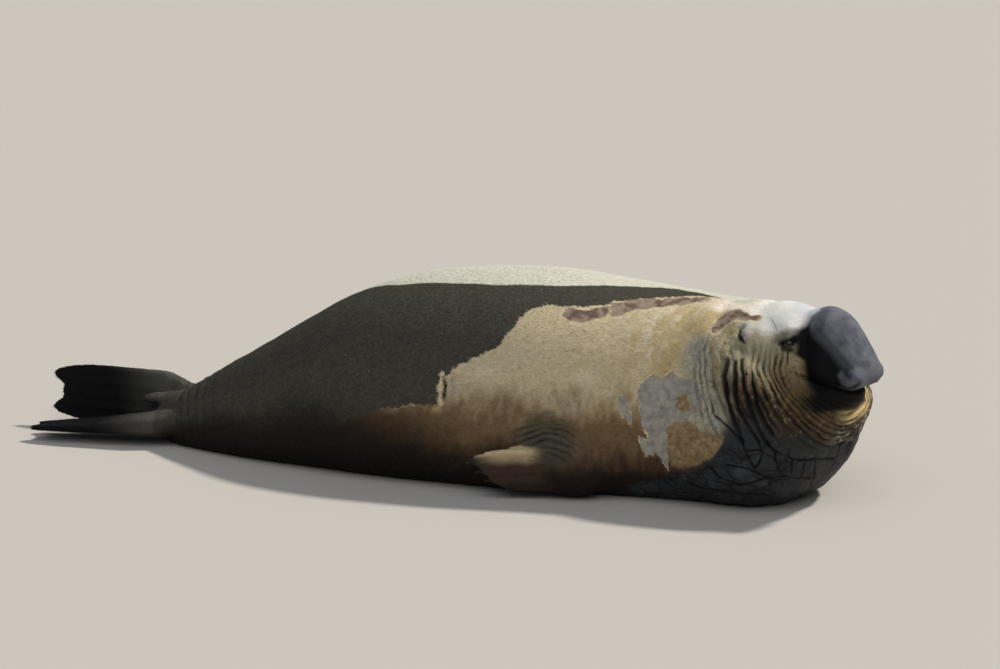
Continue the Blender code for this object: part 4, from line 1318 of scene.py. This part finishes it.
def coat(places):
    """Colour under the new coat, and its hollows, which the material darkens as painted shade, fur, and brown stain,
    which also stands for painted shade on the low rear flank, each from 0 to 1.
    """
    x, rise = around(places)
    fine = rough_noise(places.at, 0.04, 58, 4)
    colours = neck_colours(old_coat(places), places, places.valleys)
    for outline in ISLANDS:
        inside = smooth(-0.012, 0.012, patch_reach(x, rise, outline) + 0.014 * fine)
        colours = over(colours, "island", inside)
        colours = over(colours, "fold low", 0.35 * inside * smooth(0.0, 0.6, places.crust + 0.6 * fine))
        colours = over(colours, "rim", 0.18 * inside * smooth(0.1, 0.6, -places.crust))
    for path, width in SCARS:
        reach = path_reach(x, rise, path) + 0.022 * fine
        colours = over(colours, "rim", 0.7 * smooth(width + 0.018, width + 0.004, reach))
        inside = smooth(width, width - 0.006, reach)
        colours = over(colours, "scar", inside)
        colours = over(colours, "scar dark", inside * smooth(-0.2, 0.3, fine + 0.7 * places.crust))
    island = path_reach(x, rise, CRESCENT_ISLAND) + 0.01 * fine
    colours = over(colours, "bare", 0.7 * smooth(0.016, 0.010, island))
    colours = over(colours, "rim", smooth(0.016, 0.008, path_reach(x, rise, CRESCENT_RIM) + 0.008 * fine))
    colours = over(colours, "dark mark and shade", smooth(0.012, 0.006, path_reach(x, rise, CRESCENT) + 0.006 * fine))
    fringe = smooth(0.05, 0.01, path_reach(x, rise, FRINGE)) * smooth(0.0, 0.4, rough_noise(places.at * (0.5, 1, 1), 0.03, 62, 3))
    colours = head_colours(colours, places)
    colours = face_marks(colours, places)
    pit = np.linalg.norm((places.at[:, [0, 2]] - PIT) * (0.8, 1.0), axis=1)
    pit = smooth(0.17, 0.07, pit + 0.04 * fine) * (np.abs(places.at[:, 1]) > 0.4)
    colours = over(colours, "armpit", 0.85 * pit)
    # Painted shade in the wrinkles round the flipper's root
    colours = over(colours, "fold valley", 0.8 * places.armpit)
    shield = shield_share(places)
    colours = over(colours, "shield", shield)
    light = smooth(-0.1, 0.9, rough_noise(places.at, 0.08, 57, 3))
    colours = over(colours, "shield light", shield * 0.7 * light)
    # Painted shade in the shield's cracks
    colours = over(colours, "crack", 0.75 * places.cracks * (1 - places.limb))
    colours = limb_colours(colours, places)
    # Depth of the folds, cracks and wrinkles, which the material darkens as painted shade
    shaded_hollows = np.max([places.valleys, places.cracks, 0.8 * places.armpit, 0.6 * places.ankle], axis=0)
    shaded_hollows = shaded_hollows * (1 - places.limb)
    bare_head = smooth(PROBOSCIS_FROM - 0.02, PROBOSCIS_FROM + 0.03, places.head[:, 0])
    smooth_face = 1 - 0.6 * smooth(0.0, 0.08, places.head[:, 0])
    fur = (1 - shield) * (1 - bare_head) * (1 - 0.5 * places.limb) * smooth_face
    fur = fur * (1 - 0.45 * neck_share(places))
    # Brown stain and painted shade: the low rear flank darkened, more so lower round the body
    stain_and_shade = smooth(16, -30, places.rise + 6 * noise(places.at, 0.3, 61) + 4 * fine) * smooth(1.9, 1.4, places.x)
    return colours, shaded_hollows, fur, stain_and_shade * (1 - places.limb) - fringe


def paint(obj, places):
    """Stores colour, zones and surface on the skin, for its material and for the tufts."""
    colours, shaded_hollows, fur, stain_and_shade = coat(places)
    new_coat, bare, pale_lit_band = zones(places)
    new_coat = np.where((places.limb > 0.5) | (places.head[:, 0] > -0.07), -0.5, new_coat)
    layers = {
        "coat": colours,
        "zones": np.stack([new_coat, bare, pale_lit_band], axis=1),
        "surface": np.stack([shaded_hollows, fur, stain_and_shade], axis=1),
    }
    for name, values in layers.items():
        store(obj.data, name, values)
    return layers


def store(mesh, name, values):
    """Keeps three values for each point of the mesh."""
    layer = mesh.color_attributes.new(name, "FLOAT_COLOR", "POINT")
    flat = np.ones((len(values), 4))
    flat[:, :3] = values
    layer.data.foreach_set("color", flat.ravel())


def scattered(obj, places, fur, count):
    """Random roots on the skin, thicker where it is furrier: three corners of a face and the weight of each."""
    obj.data.calc_loop_triangles()
    corners = np.empty(len(obj.data.loop_triangles) * 3, np.int32)
    obj.data.loop_triangles.foreach_get("vertices", corners)
    corners = corners.reshape(-1, 3)
    at = points_of(obj.data)[corners]
    area = np.linalg.norm(np.cross(at[:, 1] - at[:, 0], at[:, 2] - at[:, 0]), axis=1)
    shares = np.cumsum(area * fur[corners].mean(axis=1))
    random = np.random.default_rng(TUFT_SEED)
    picked = corners[np.searchsorted(shares, random.random(count) * shares[-1])]
    a, b = random.random((2, count))
    flip = a + b > 1
    a, b = np.where(flip, 1 - a, a), np.where(flip, 1 - b, b)
    return picked, np.stack([1 - a - b, a, b], axis=1), random


def tuft_pieces(skin, places, layers):
    """Short, flat tufts over all the haired skin, as pieces of a limited size from tail to head."""
    straight = straightened(points_of(skin.data))
    shaded_hollows, fur, stain_and_shade = layers["surface"].T
    bare = layers["zones"][:, 1]
    density = np.clip(fur, 0, 1) * (1 - 0.7 * shaded_hollows) * smooth(0.0, -0.02, bare) * smooth(0.015, 0.05, straight[:, 2])
    density = density * (1 - 0.5 * smooth(0.0, 0.1, places.head[:, 0]))
    near_eye = np.linalg.norm(places.mirrored - EYE_PLACE, axis=1)
    density = density * smooth(0.05, 0.08, near_eye)
    picked, weights, random = scattered(skin, places, density, TUFTS)

    def at_roots(values):
        return np.einsum("ij,ijk->ik", weights, values[picked])

    order = np.argsort(at_roots(straight)[:, 0])
    picked, weights = picked[order], weights[order]
    roots = at_roots(straight)
    corner = straight[picked]
    normals = np.cross(corner[:, 1] - corner[:, 0], corner[:, 2] - corner[:, 0])
    normals /= np.linalg.norm(normals, axis=1)[:, None]
    flow = roots - np.array(HEAD_ORIGIN) - TUFTS_FROM
    flow /= np.linalg.norm(flow, axis=1)[:, None]
    flow[:, 2] -= 0.30 * (1 - np.abs(normals[:, 2]))
    flow += random.normal(0, 0.16, flow.shape)
    flow -= normals * np.sum(flow * normals, axis=1)[:, None]
    flow /= np.linalg.norm(flow, axis=1)[:, None]
    across = np.cross(normals, flow)
    on_head = smooth(-0.1, 0.15, roots[:, 0] - HEAD_ORIGIN[0])[:, None]
    length = TUFT_LENGTH * random.uniform(0.6, 1.25, (len(roots), 1)) * (1 - 0.55 * on_head)
    lift = TUFT_LIFT * random.uniform(0.3, 1.6, (len(roots), 1)) * (1 - 0.5 * on_head)
    half = TUFT_WIDTH / 2 * random.uniform(0.7, 1.3, (len(roots), 1)) * (1 - 0.4 * on_head)
    sunk = roots - normals * TUFT_SINK
    spikes = np.stack([sunk + across * half, sunk - across * half, roots + normals * TUFT_THICK,
        roots + flow * length + normals * lift], axis=1)
    tilt = TUFT_ROUNDNESS * across
    facing = np.stack([normals + tilt, normals - tilt, normals, normals], axis=1)
    values = {name: at_roots(layer) for name, layer in layers.items()}
    values["coat"] = values["coat"] * random.uniform(0.87, 1.15, (len(roots), 1))
    limb = np.einsum("ij,ij->i", weights, places.limb[picked])
    spots = unwrapped(roots, limb)
    for number, start in enumerate(range(0, TUFTS, TUFTS_A_PIECE)):
        part = slice(start, start + TUFTS_A_PIECE)
        painted = {name: rows[part] for name, rows in values.items()}
        yield tuft_piece(f"coat_{number + 1}", spikes[part], facing[part], spots[part], painted)


def unwrapped(roots, limb):
    """Each root's place on an unwrap of the skin: along the body and round it, with limbs in a strip of their own."""
    u = (roots[:, 0] + 1.1) / 5.0
    round_body = np.arctan2(roots[:, 1], roots[:, 2] - GIRTH_CENTRE) / (2 * math.pi) + 0.5
    v = np.where(limb > 0.5, 0.86 + 0.12 * round_body, 0.01 + 0.83 * round_body)
    return np.stack([u, v], axis=1)


def tuft_piece(name, spikes, facing, spots, values):
    """One mesh of four-sided spikes that are lit as the skin is, with its colours and its map for baking."""
    count = len(spikes)
    mesh = bpy.data.meshes.new(name)
    mesh.vertices.add(4 * count)
    points = spikes.reshape(-1, 3)
    turned = bent(points)
    normals = bent(points + NORMAL_STEP * facing.reshape(-1, 3)) - turned
    normals /= np.linalg.norm(normals, axis=1)[:, None]
    mesh.vertices.foreach_set("co", turned.ravel())
    faces = np.array(((0, 3, 1), (1, 3, 2), (2, 3, 0), (0, 1, 2)))
    corners = (faces[None] + 4 * np.arange(count)[:, None, None]).ravel()
    mesh.loops.add(len(corners))
    mesh.loops.foreach_set("vertex_index", corners)
    mesh.polygons.add(len(corners) // 3)
    mesh.polygons.foreach_set("loop_start", np.arange(0, len(corners), 3))
    mesh.update(calc_edges=True)
    patch = TUFT_PATCH / 2 * np.array(((-1, -1), (1, -1), (0, 0), (0, 1)))
    places = spots[:, None] + patch[None]
    layer = mesh.uv_layers.new(name="OFBake")
    layer.uv.foreach_set("vector", places.reshape(-1, 2)[corners].ravel())
    for key, rows in values.items():
        store(mesh, key, np.repeat(rows, 4, axis=0))
    mesh.shade_smooth()
    mesh.normals_split_custom_set_from_vertices(normals)
    return linked(name, mesh)


def node_of(tree, kind, **settings):
    node = tree.nodes.new(kind)
    for name, value in settings.items():
        setattr(node, name, value)
    return node


def feed(tree, socket, value):
    """Links an output to the socket, or sets the socket to a constant."""
    if isinstance(value, bpy.types.NodeSocket):
        tree.links.new(value, socket)
    else:
        socket.default_value = value


def calculate(tree, operation, *values):
    node = node_of(tree, "ShaderNodeMath", operation=operation)
    for socket, value in zip(node.inputs, values):
        feed(tree, socket, value)
    return node.outputs[0]


def ramp(tree, value, low, high):
    """0 at low, 1 at high, eased between."""
    node = node_of(tree, "ShaderNodeMapRange", interpolation_type="SMOOTHSTEP")
    feed(tree, node.inputs["Value"], value)
    node.inputs["From Min"].default_value = low
    node.inputs["From Max"].default_value = high
    return node.outputs[0]


def mix(tree, share, first, second, blend="MIX"):
    node = node_of(tree, "ShaderNodeMix", data_type="RGBA", blend_type=blend)
    feed(tree, node.inputs[0], share)
    feed(tree, node.inputs[6], first)
    feed(tree, node.inputs[7], second)
    return node.outputs[2]


def grain(tree, coordinates, scale, detail=4.0, roughness=0.6, stretch=(1, 1, 1)):
    """Noise from 0 to 1, its grains drawn out along the axes where stretch is small."""
    mapping = node_of(tree, "ShaderNodeMapping")
    mapping.inputs["Scale"].default_value = stretch
    tree.links.new(coordinates, mapping.inputs["Vector"])
    node = node_of(tree, "ShaderNodeTexNoise")
    node.inputs["Scale"].default_value = scale
    node.inputs["Detail"].default_value = detail
    node.inputs["Roughness"].default_value = roughness
    tree.links.new(mapping.outputs[0], node.inputs["Vector"])
    return node.outputs["Fac"]


def shade(name):
    """A named colour for a shader socket."""
    return (*linear(name), 1)


def ragged_edge(tree, reach, noise_value, spread, width=0.003):
    """1 where reach is positive, with an edge that the noise pushes in and out by spread."""
    push = calculate(tree, "MULTIPLY", calculate(tree, "SUBTRACT", noise_value, 0.5), spread)
    return ramp(tree, calculate(tree, "ADD", reach, push), -width, width)


def hide_material():
    """Old coat, new coat, bare skin and pale back, meeting in ragged edges, with the fine grain of each. The pale back
    is partly pale coat and partly painted highlight; the hollows and the low rear flank get painted shade.
    """
    material, shader = new_material("hide")
    tree = material.node_tree
    layers = {}
    for name in ("coat", "zones", "surface"):
        layers[name] = node_of(tree, "ShaderNodeAttribute", attribute_name=name).outputs["Color"]
    zone = node_of(tree, "ShaderNodeSeparateColor")
    tree.links.new(layers["zones"], zone.inputs[0])
    surface = node_of(tree, "ShaderNodeSeparateColor")
    tree.links.new(layers["surface"], surface.inputs[0])
    shaded_hollow, fur, stain_and_shade = surface.outputs
    at = node_of(tree, "ShaderNodeTexCoord").outputs["Object"]
    patchy = ramp(tree, grain(tree, at, 17, 4, 0.65), 0.44, 0.62)
    flakes = calculate(tree, "MULTIPLY", grain(tree, at, 42, 4, 0.7), 0.45)
    edge = calculate(tree, "ADD", calculate(tree, "MULTIPLY", grain(tree, at, 9, 8, 0.68), 0.9), flakes)
    edge = calculate(tree, "SUBTRACT", edge, 0.175)
    streaks = grain(tree, at, 75, 5, 0.72, (0.55, 1, 0.85))
    fine = grain(tree, at, 230, 3, 0.65, (0.5, 1, 0.8))
    blots = grain(tree, at, 26, 5, 0.7)
    colour = layers["coat"]
    tone = ramp(tree, calculate(tree, "ADD", calculate(tree, "MULTIPLY", streaks, 0.6), calculate(tree, "MULTIPLY", fine, 0.4)), 0.30, 0.70)
    colour = mix(tree, calculate(tree, "MULTIPLY", fur, 0.30), colour, mix(tree, tone, (0.35, 0.30, 0.27, 1), (1.5, 1.45, 1.4, 1)), "MULTIPLY")
    flecks = calculate(tree, "MULTIPLY", ramp(tree, blots, 0.63, 0.73), 0.65)
    colour = mix(tree, calculate(tree, "MULTIPLY", flecks, fur), colour, shade("old coat dark and shade"))
    loose = calculate(tree, "ADD", calculate(tree, "MULTIPLY", edge, 0.7), calculate(tree, "MULTIPLY", grain(tree, at, 30, 5, 0.75), 0.3))
    rim = ragged_edge(tree, calculate(tree, "ADD", zone.outputs[0], 0.008), loose, 0.11)
    new = ragged_edge(tree, zone.outputs[0], edge, 0.10)
    inner = calculate(tree, "MULTIPLY", rim, calculate(tree, "SUBTRACT", 1.0, new))
    inner = calculate(tree, "MULTIPLY", inner, ramp(tree, stain_and_shade, 0.3, 0.0))
    colour = mix(tree, calculate(tree, "MULTIPLY", inner, calculate(tree, "MULTIPLY", patchy, 0.45)), colour, shade("rim"))
    dark = mix(tree, tone, shade("new coat"), shade("new coat light"))
    specks = ramp(tree, grain(tree, at, 120, 2, 0.5), 0.70, 0.76)
    dark = mix(tree, calculate(tree, "MULTIPLY", specks, 0.5), dark, shade("old coat"))
    colour = mix(tree, new, colour, dark)
    # Stain and painted shade: near black on the low rear flank
    stain_and_shade_tone = mix(tree, tone, shade("stain_and_shade"), shade("old coat dark and shade"))
    colour = mix(tree, ramp(tree, stain_and_shade, 0.0, 1.0), colour, stain_and_shade_tone)
    colour = mix(tree, ramp(tree, stain_and_shade, 0.0, -1.2), colour, shade("old coat yellow"))
    peel_rim = ragged_edge(tree, calculate(tree, "ADD", zone.outputs[1], 0.005), loose, 0.08)
    peel_rim = calculate(tree, "MULTIPLY", peel_rim, ramp(tree, fur, 0.6, 0.95))
    colour = mix(tree, calculate(tree, "MULTIPLY", peel_rim, patchy), colour, shade("rim"))
    bare = ragged_edge(tree, zone.outputs[1], edge, 0.07)
    skin = mix(tree, ramp(tree, blots, 0.35, 0.7), shade("bare"), shade("bare dark"))
    colour = mix(tree, bare, colour, skin)
    # Pale band of the back: partly pale coat, partly painted highlight
    pale_lit_band = ragged_edge(tree, zone.outputs[2], edge, 0.02, 0.006)
    colour = mix(tree, pale_lit_band, colour, mix(tree, tone, shade("pale_lit_band_low"), shade("pale_lit_band")))
    # Painted shade: darker in the folds, cracks and wrinkles
    colour = mix(tree, calculate(tree, "MULTIPLY", shaded_hollow, 0.55), colour, (0.16, 0.10, 0.08, 1), "MULTIPLY")
    tree.links.new(colour, shader.inputs["Base Color"])
    furry = calculate(tree, "MULTIPLY", fur, calculate(tree, "SUBTRACT", 1.0, bare))
    roughness = calculate(tree, "ADD", 0.52, calculate(tree, "MULTIPLY", furry, 0.18))
    tree.links.new(roughness, shader.inputs["Roughness"])
    shader.inputs["Specular IOR Level"].default_value = 0.16
    lie = calculate(tree, "ADD", streaks, calculate(tree, "MULTIPLY", fine, 0.5))
    pores = grain(tree, at, 330, 2, 0.5)
    wrinkles = grain(tree, at, 60, 5, 0.7)
    wrinkles = calculate(tree, "ABSOLUTE", calculate(tree, "SUBTRACT", wrinkles, 0.5))
    wrinkles = calculate(tree, "MULTIPLY", wrinkles, calculate(tree, "SUBTRACT", 9.0, calculate(tree, "MULTIPLY", fur, 8.0)))
    height = calculate(tree, "ADD", calculate(tree, "MULTIPLY", lie, furry), calculate(tree, "MULTIPLY", pores, 0.25))
    height = calculate(tree, "ADD", height, wrinkles)
    height = calculate(tree, "ADD", height, calculate(tree, "MULTIPLY", calculate(tree, "ADD", bare, new), -0.35))
    bump = node_of(tree, "ShaderNodeBump")
    bump.inputs["Strength"].default_value = 0.55
    bump.inputs["Distance"].default_value = 0.004
    tree.links.new(height, bump.inputs["Height"])
    tree.links.new(bump.outputs[0], shader.inputs["Normal"])
    return material


def eye_material():
    material, shader = new_material("eye")
    shader.inputs["Base Color"].default_value = shade("dark mark and shade")
    shader.inputs["Roughness"].default_value = 0.05
    shader.inputs["Specular IOR Level"].default_value = 0.35
    shader.inputs["Coat Weight"].default_value = 0.35
    shader.inputs["Coat Roughness"].default_value = 0.03
    return material


def claw_material():
    material, shader = new_material("claw")
    shader.inputs["Base Color"].default_value = shade("claw")
    shader.inputs["Roughness"].default_value = 0.5
    shader.inputs["Specular IOR Level"].default_value = 0.25
    return material


def dress(obj, material, slot, root, *nodes):
    """Puts a piece in the frame with its material, in place of the CAD nodes that it stands for."""
    obj.data.materials.append(material)
    obj.data.shade_smooth()
    obj.data.transform(Matrix.Translation(root))
    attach(obj, "root")
    if nodes:
        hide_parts(*nodes)


def eyes():
    """Both globes, smooth enough to hold a highlight."""
    for way, node in ((1, "eye_left"), (-1, "eye_right")):
        eye = ellipsoid(f"{node}_globe", (EYE_PLACE[0], way * EYE_PLACE[1], EYE_PLACE[2]), (EYE_RADIUS,) * 3, 0, 64)
        set_points(eye.data, bent(points_of(eye.data) + HEAD_ORIGIN))
        yield eye, node


def claws():
    """The five claws of each fore flipper, bent to the palm at the tip."""
    for toe in range(5):
        across = (toe - 2) * TOE_STEP
        start = toe_reach(across, FORE_FLIPPER) - CLAW_ROOT
        side = toe_spread(1, FORE_FLIPPER) * across
        around = np.linspace(0, 2 * math.pi, CLAW_SIDES, endpoint=False)
        rings = []
        for t in np.linspace(0, 1, CLAW_RINGS):
            radius = CLAW_RADIUS * (1 - t) ** 0.6 + 0.0006
            centre = 0.003 - FORE_FLIPPER["curl"] - 0.012 * t**2
            along = np.full(CLAW_SIDES, start + CLAW_LENGTH * t)
            ring = (along, side + 0.75 * radius * np.cos(around), centre + radius * np.sin(around))
            rings.append(np.stack(ring, axis=1))
        for way, name in ((1, "right"), (-1, "left")):
            node = f"claw_{name}_{toe + 1}"
            claw = placed(loft(f"{node}_horn", rings), FORE_PLACE, way)
            yield join(claw.name, [claw]), node


def main():
    for obj in list(bpy.data.objects):
        bpy.data.objects.remove(obj)
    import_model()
    behind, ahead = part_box("abdomen")
    root = Vector((behind[0] - HIP_END - GAP / 2, (behind[1] + ahead[1]) / 2, 0))
    set_camera(root)
    set_stage()
    skin = fused_seal()
    places = sculpted(skin)
    layers = paint(skin, places)
    print("skin", len(skin.data.vertices))
    hide = hide_material()
    for tufts in tuft_pieces(skin, places, layers):
        dress(tufts, hide, "hide", root)
    dress(skin, hide, "hide", root, *FLESH)
    for eye, node in eyes():
        dress(eye, eye_material(), "eye", root, node)
    horn = claw_material()
    for claw, node in claws():
        dress(claw, horn, "claw", root, node)
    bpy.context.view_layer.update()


main()
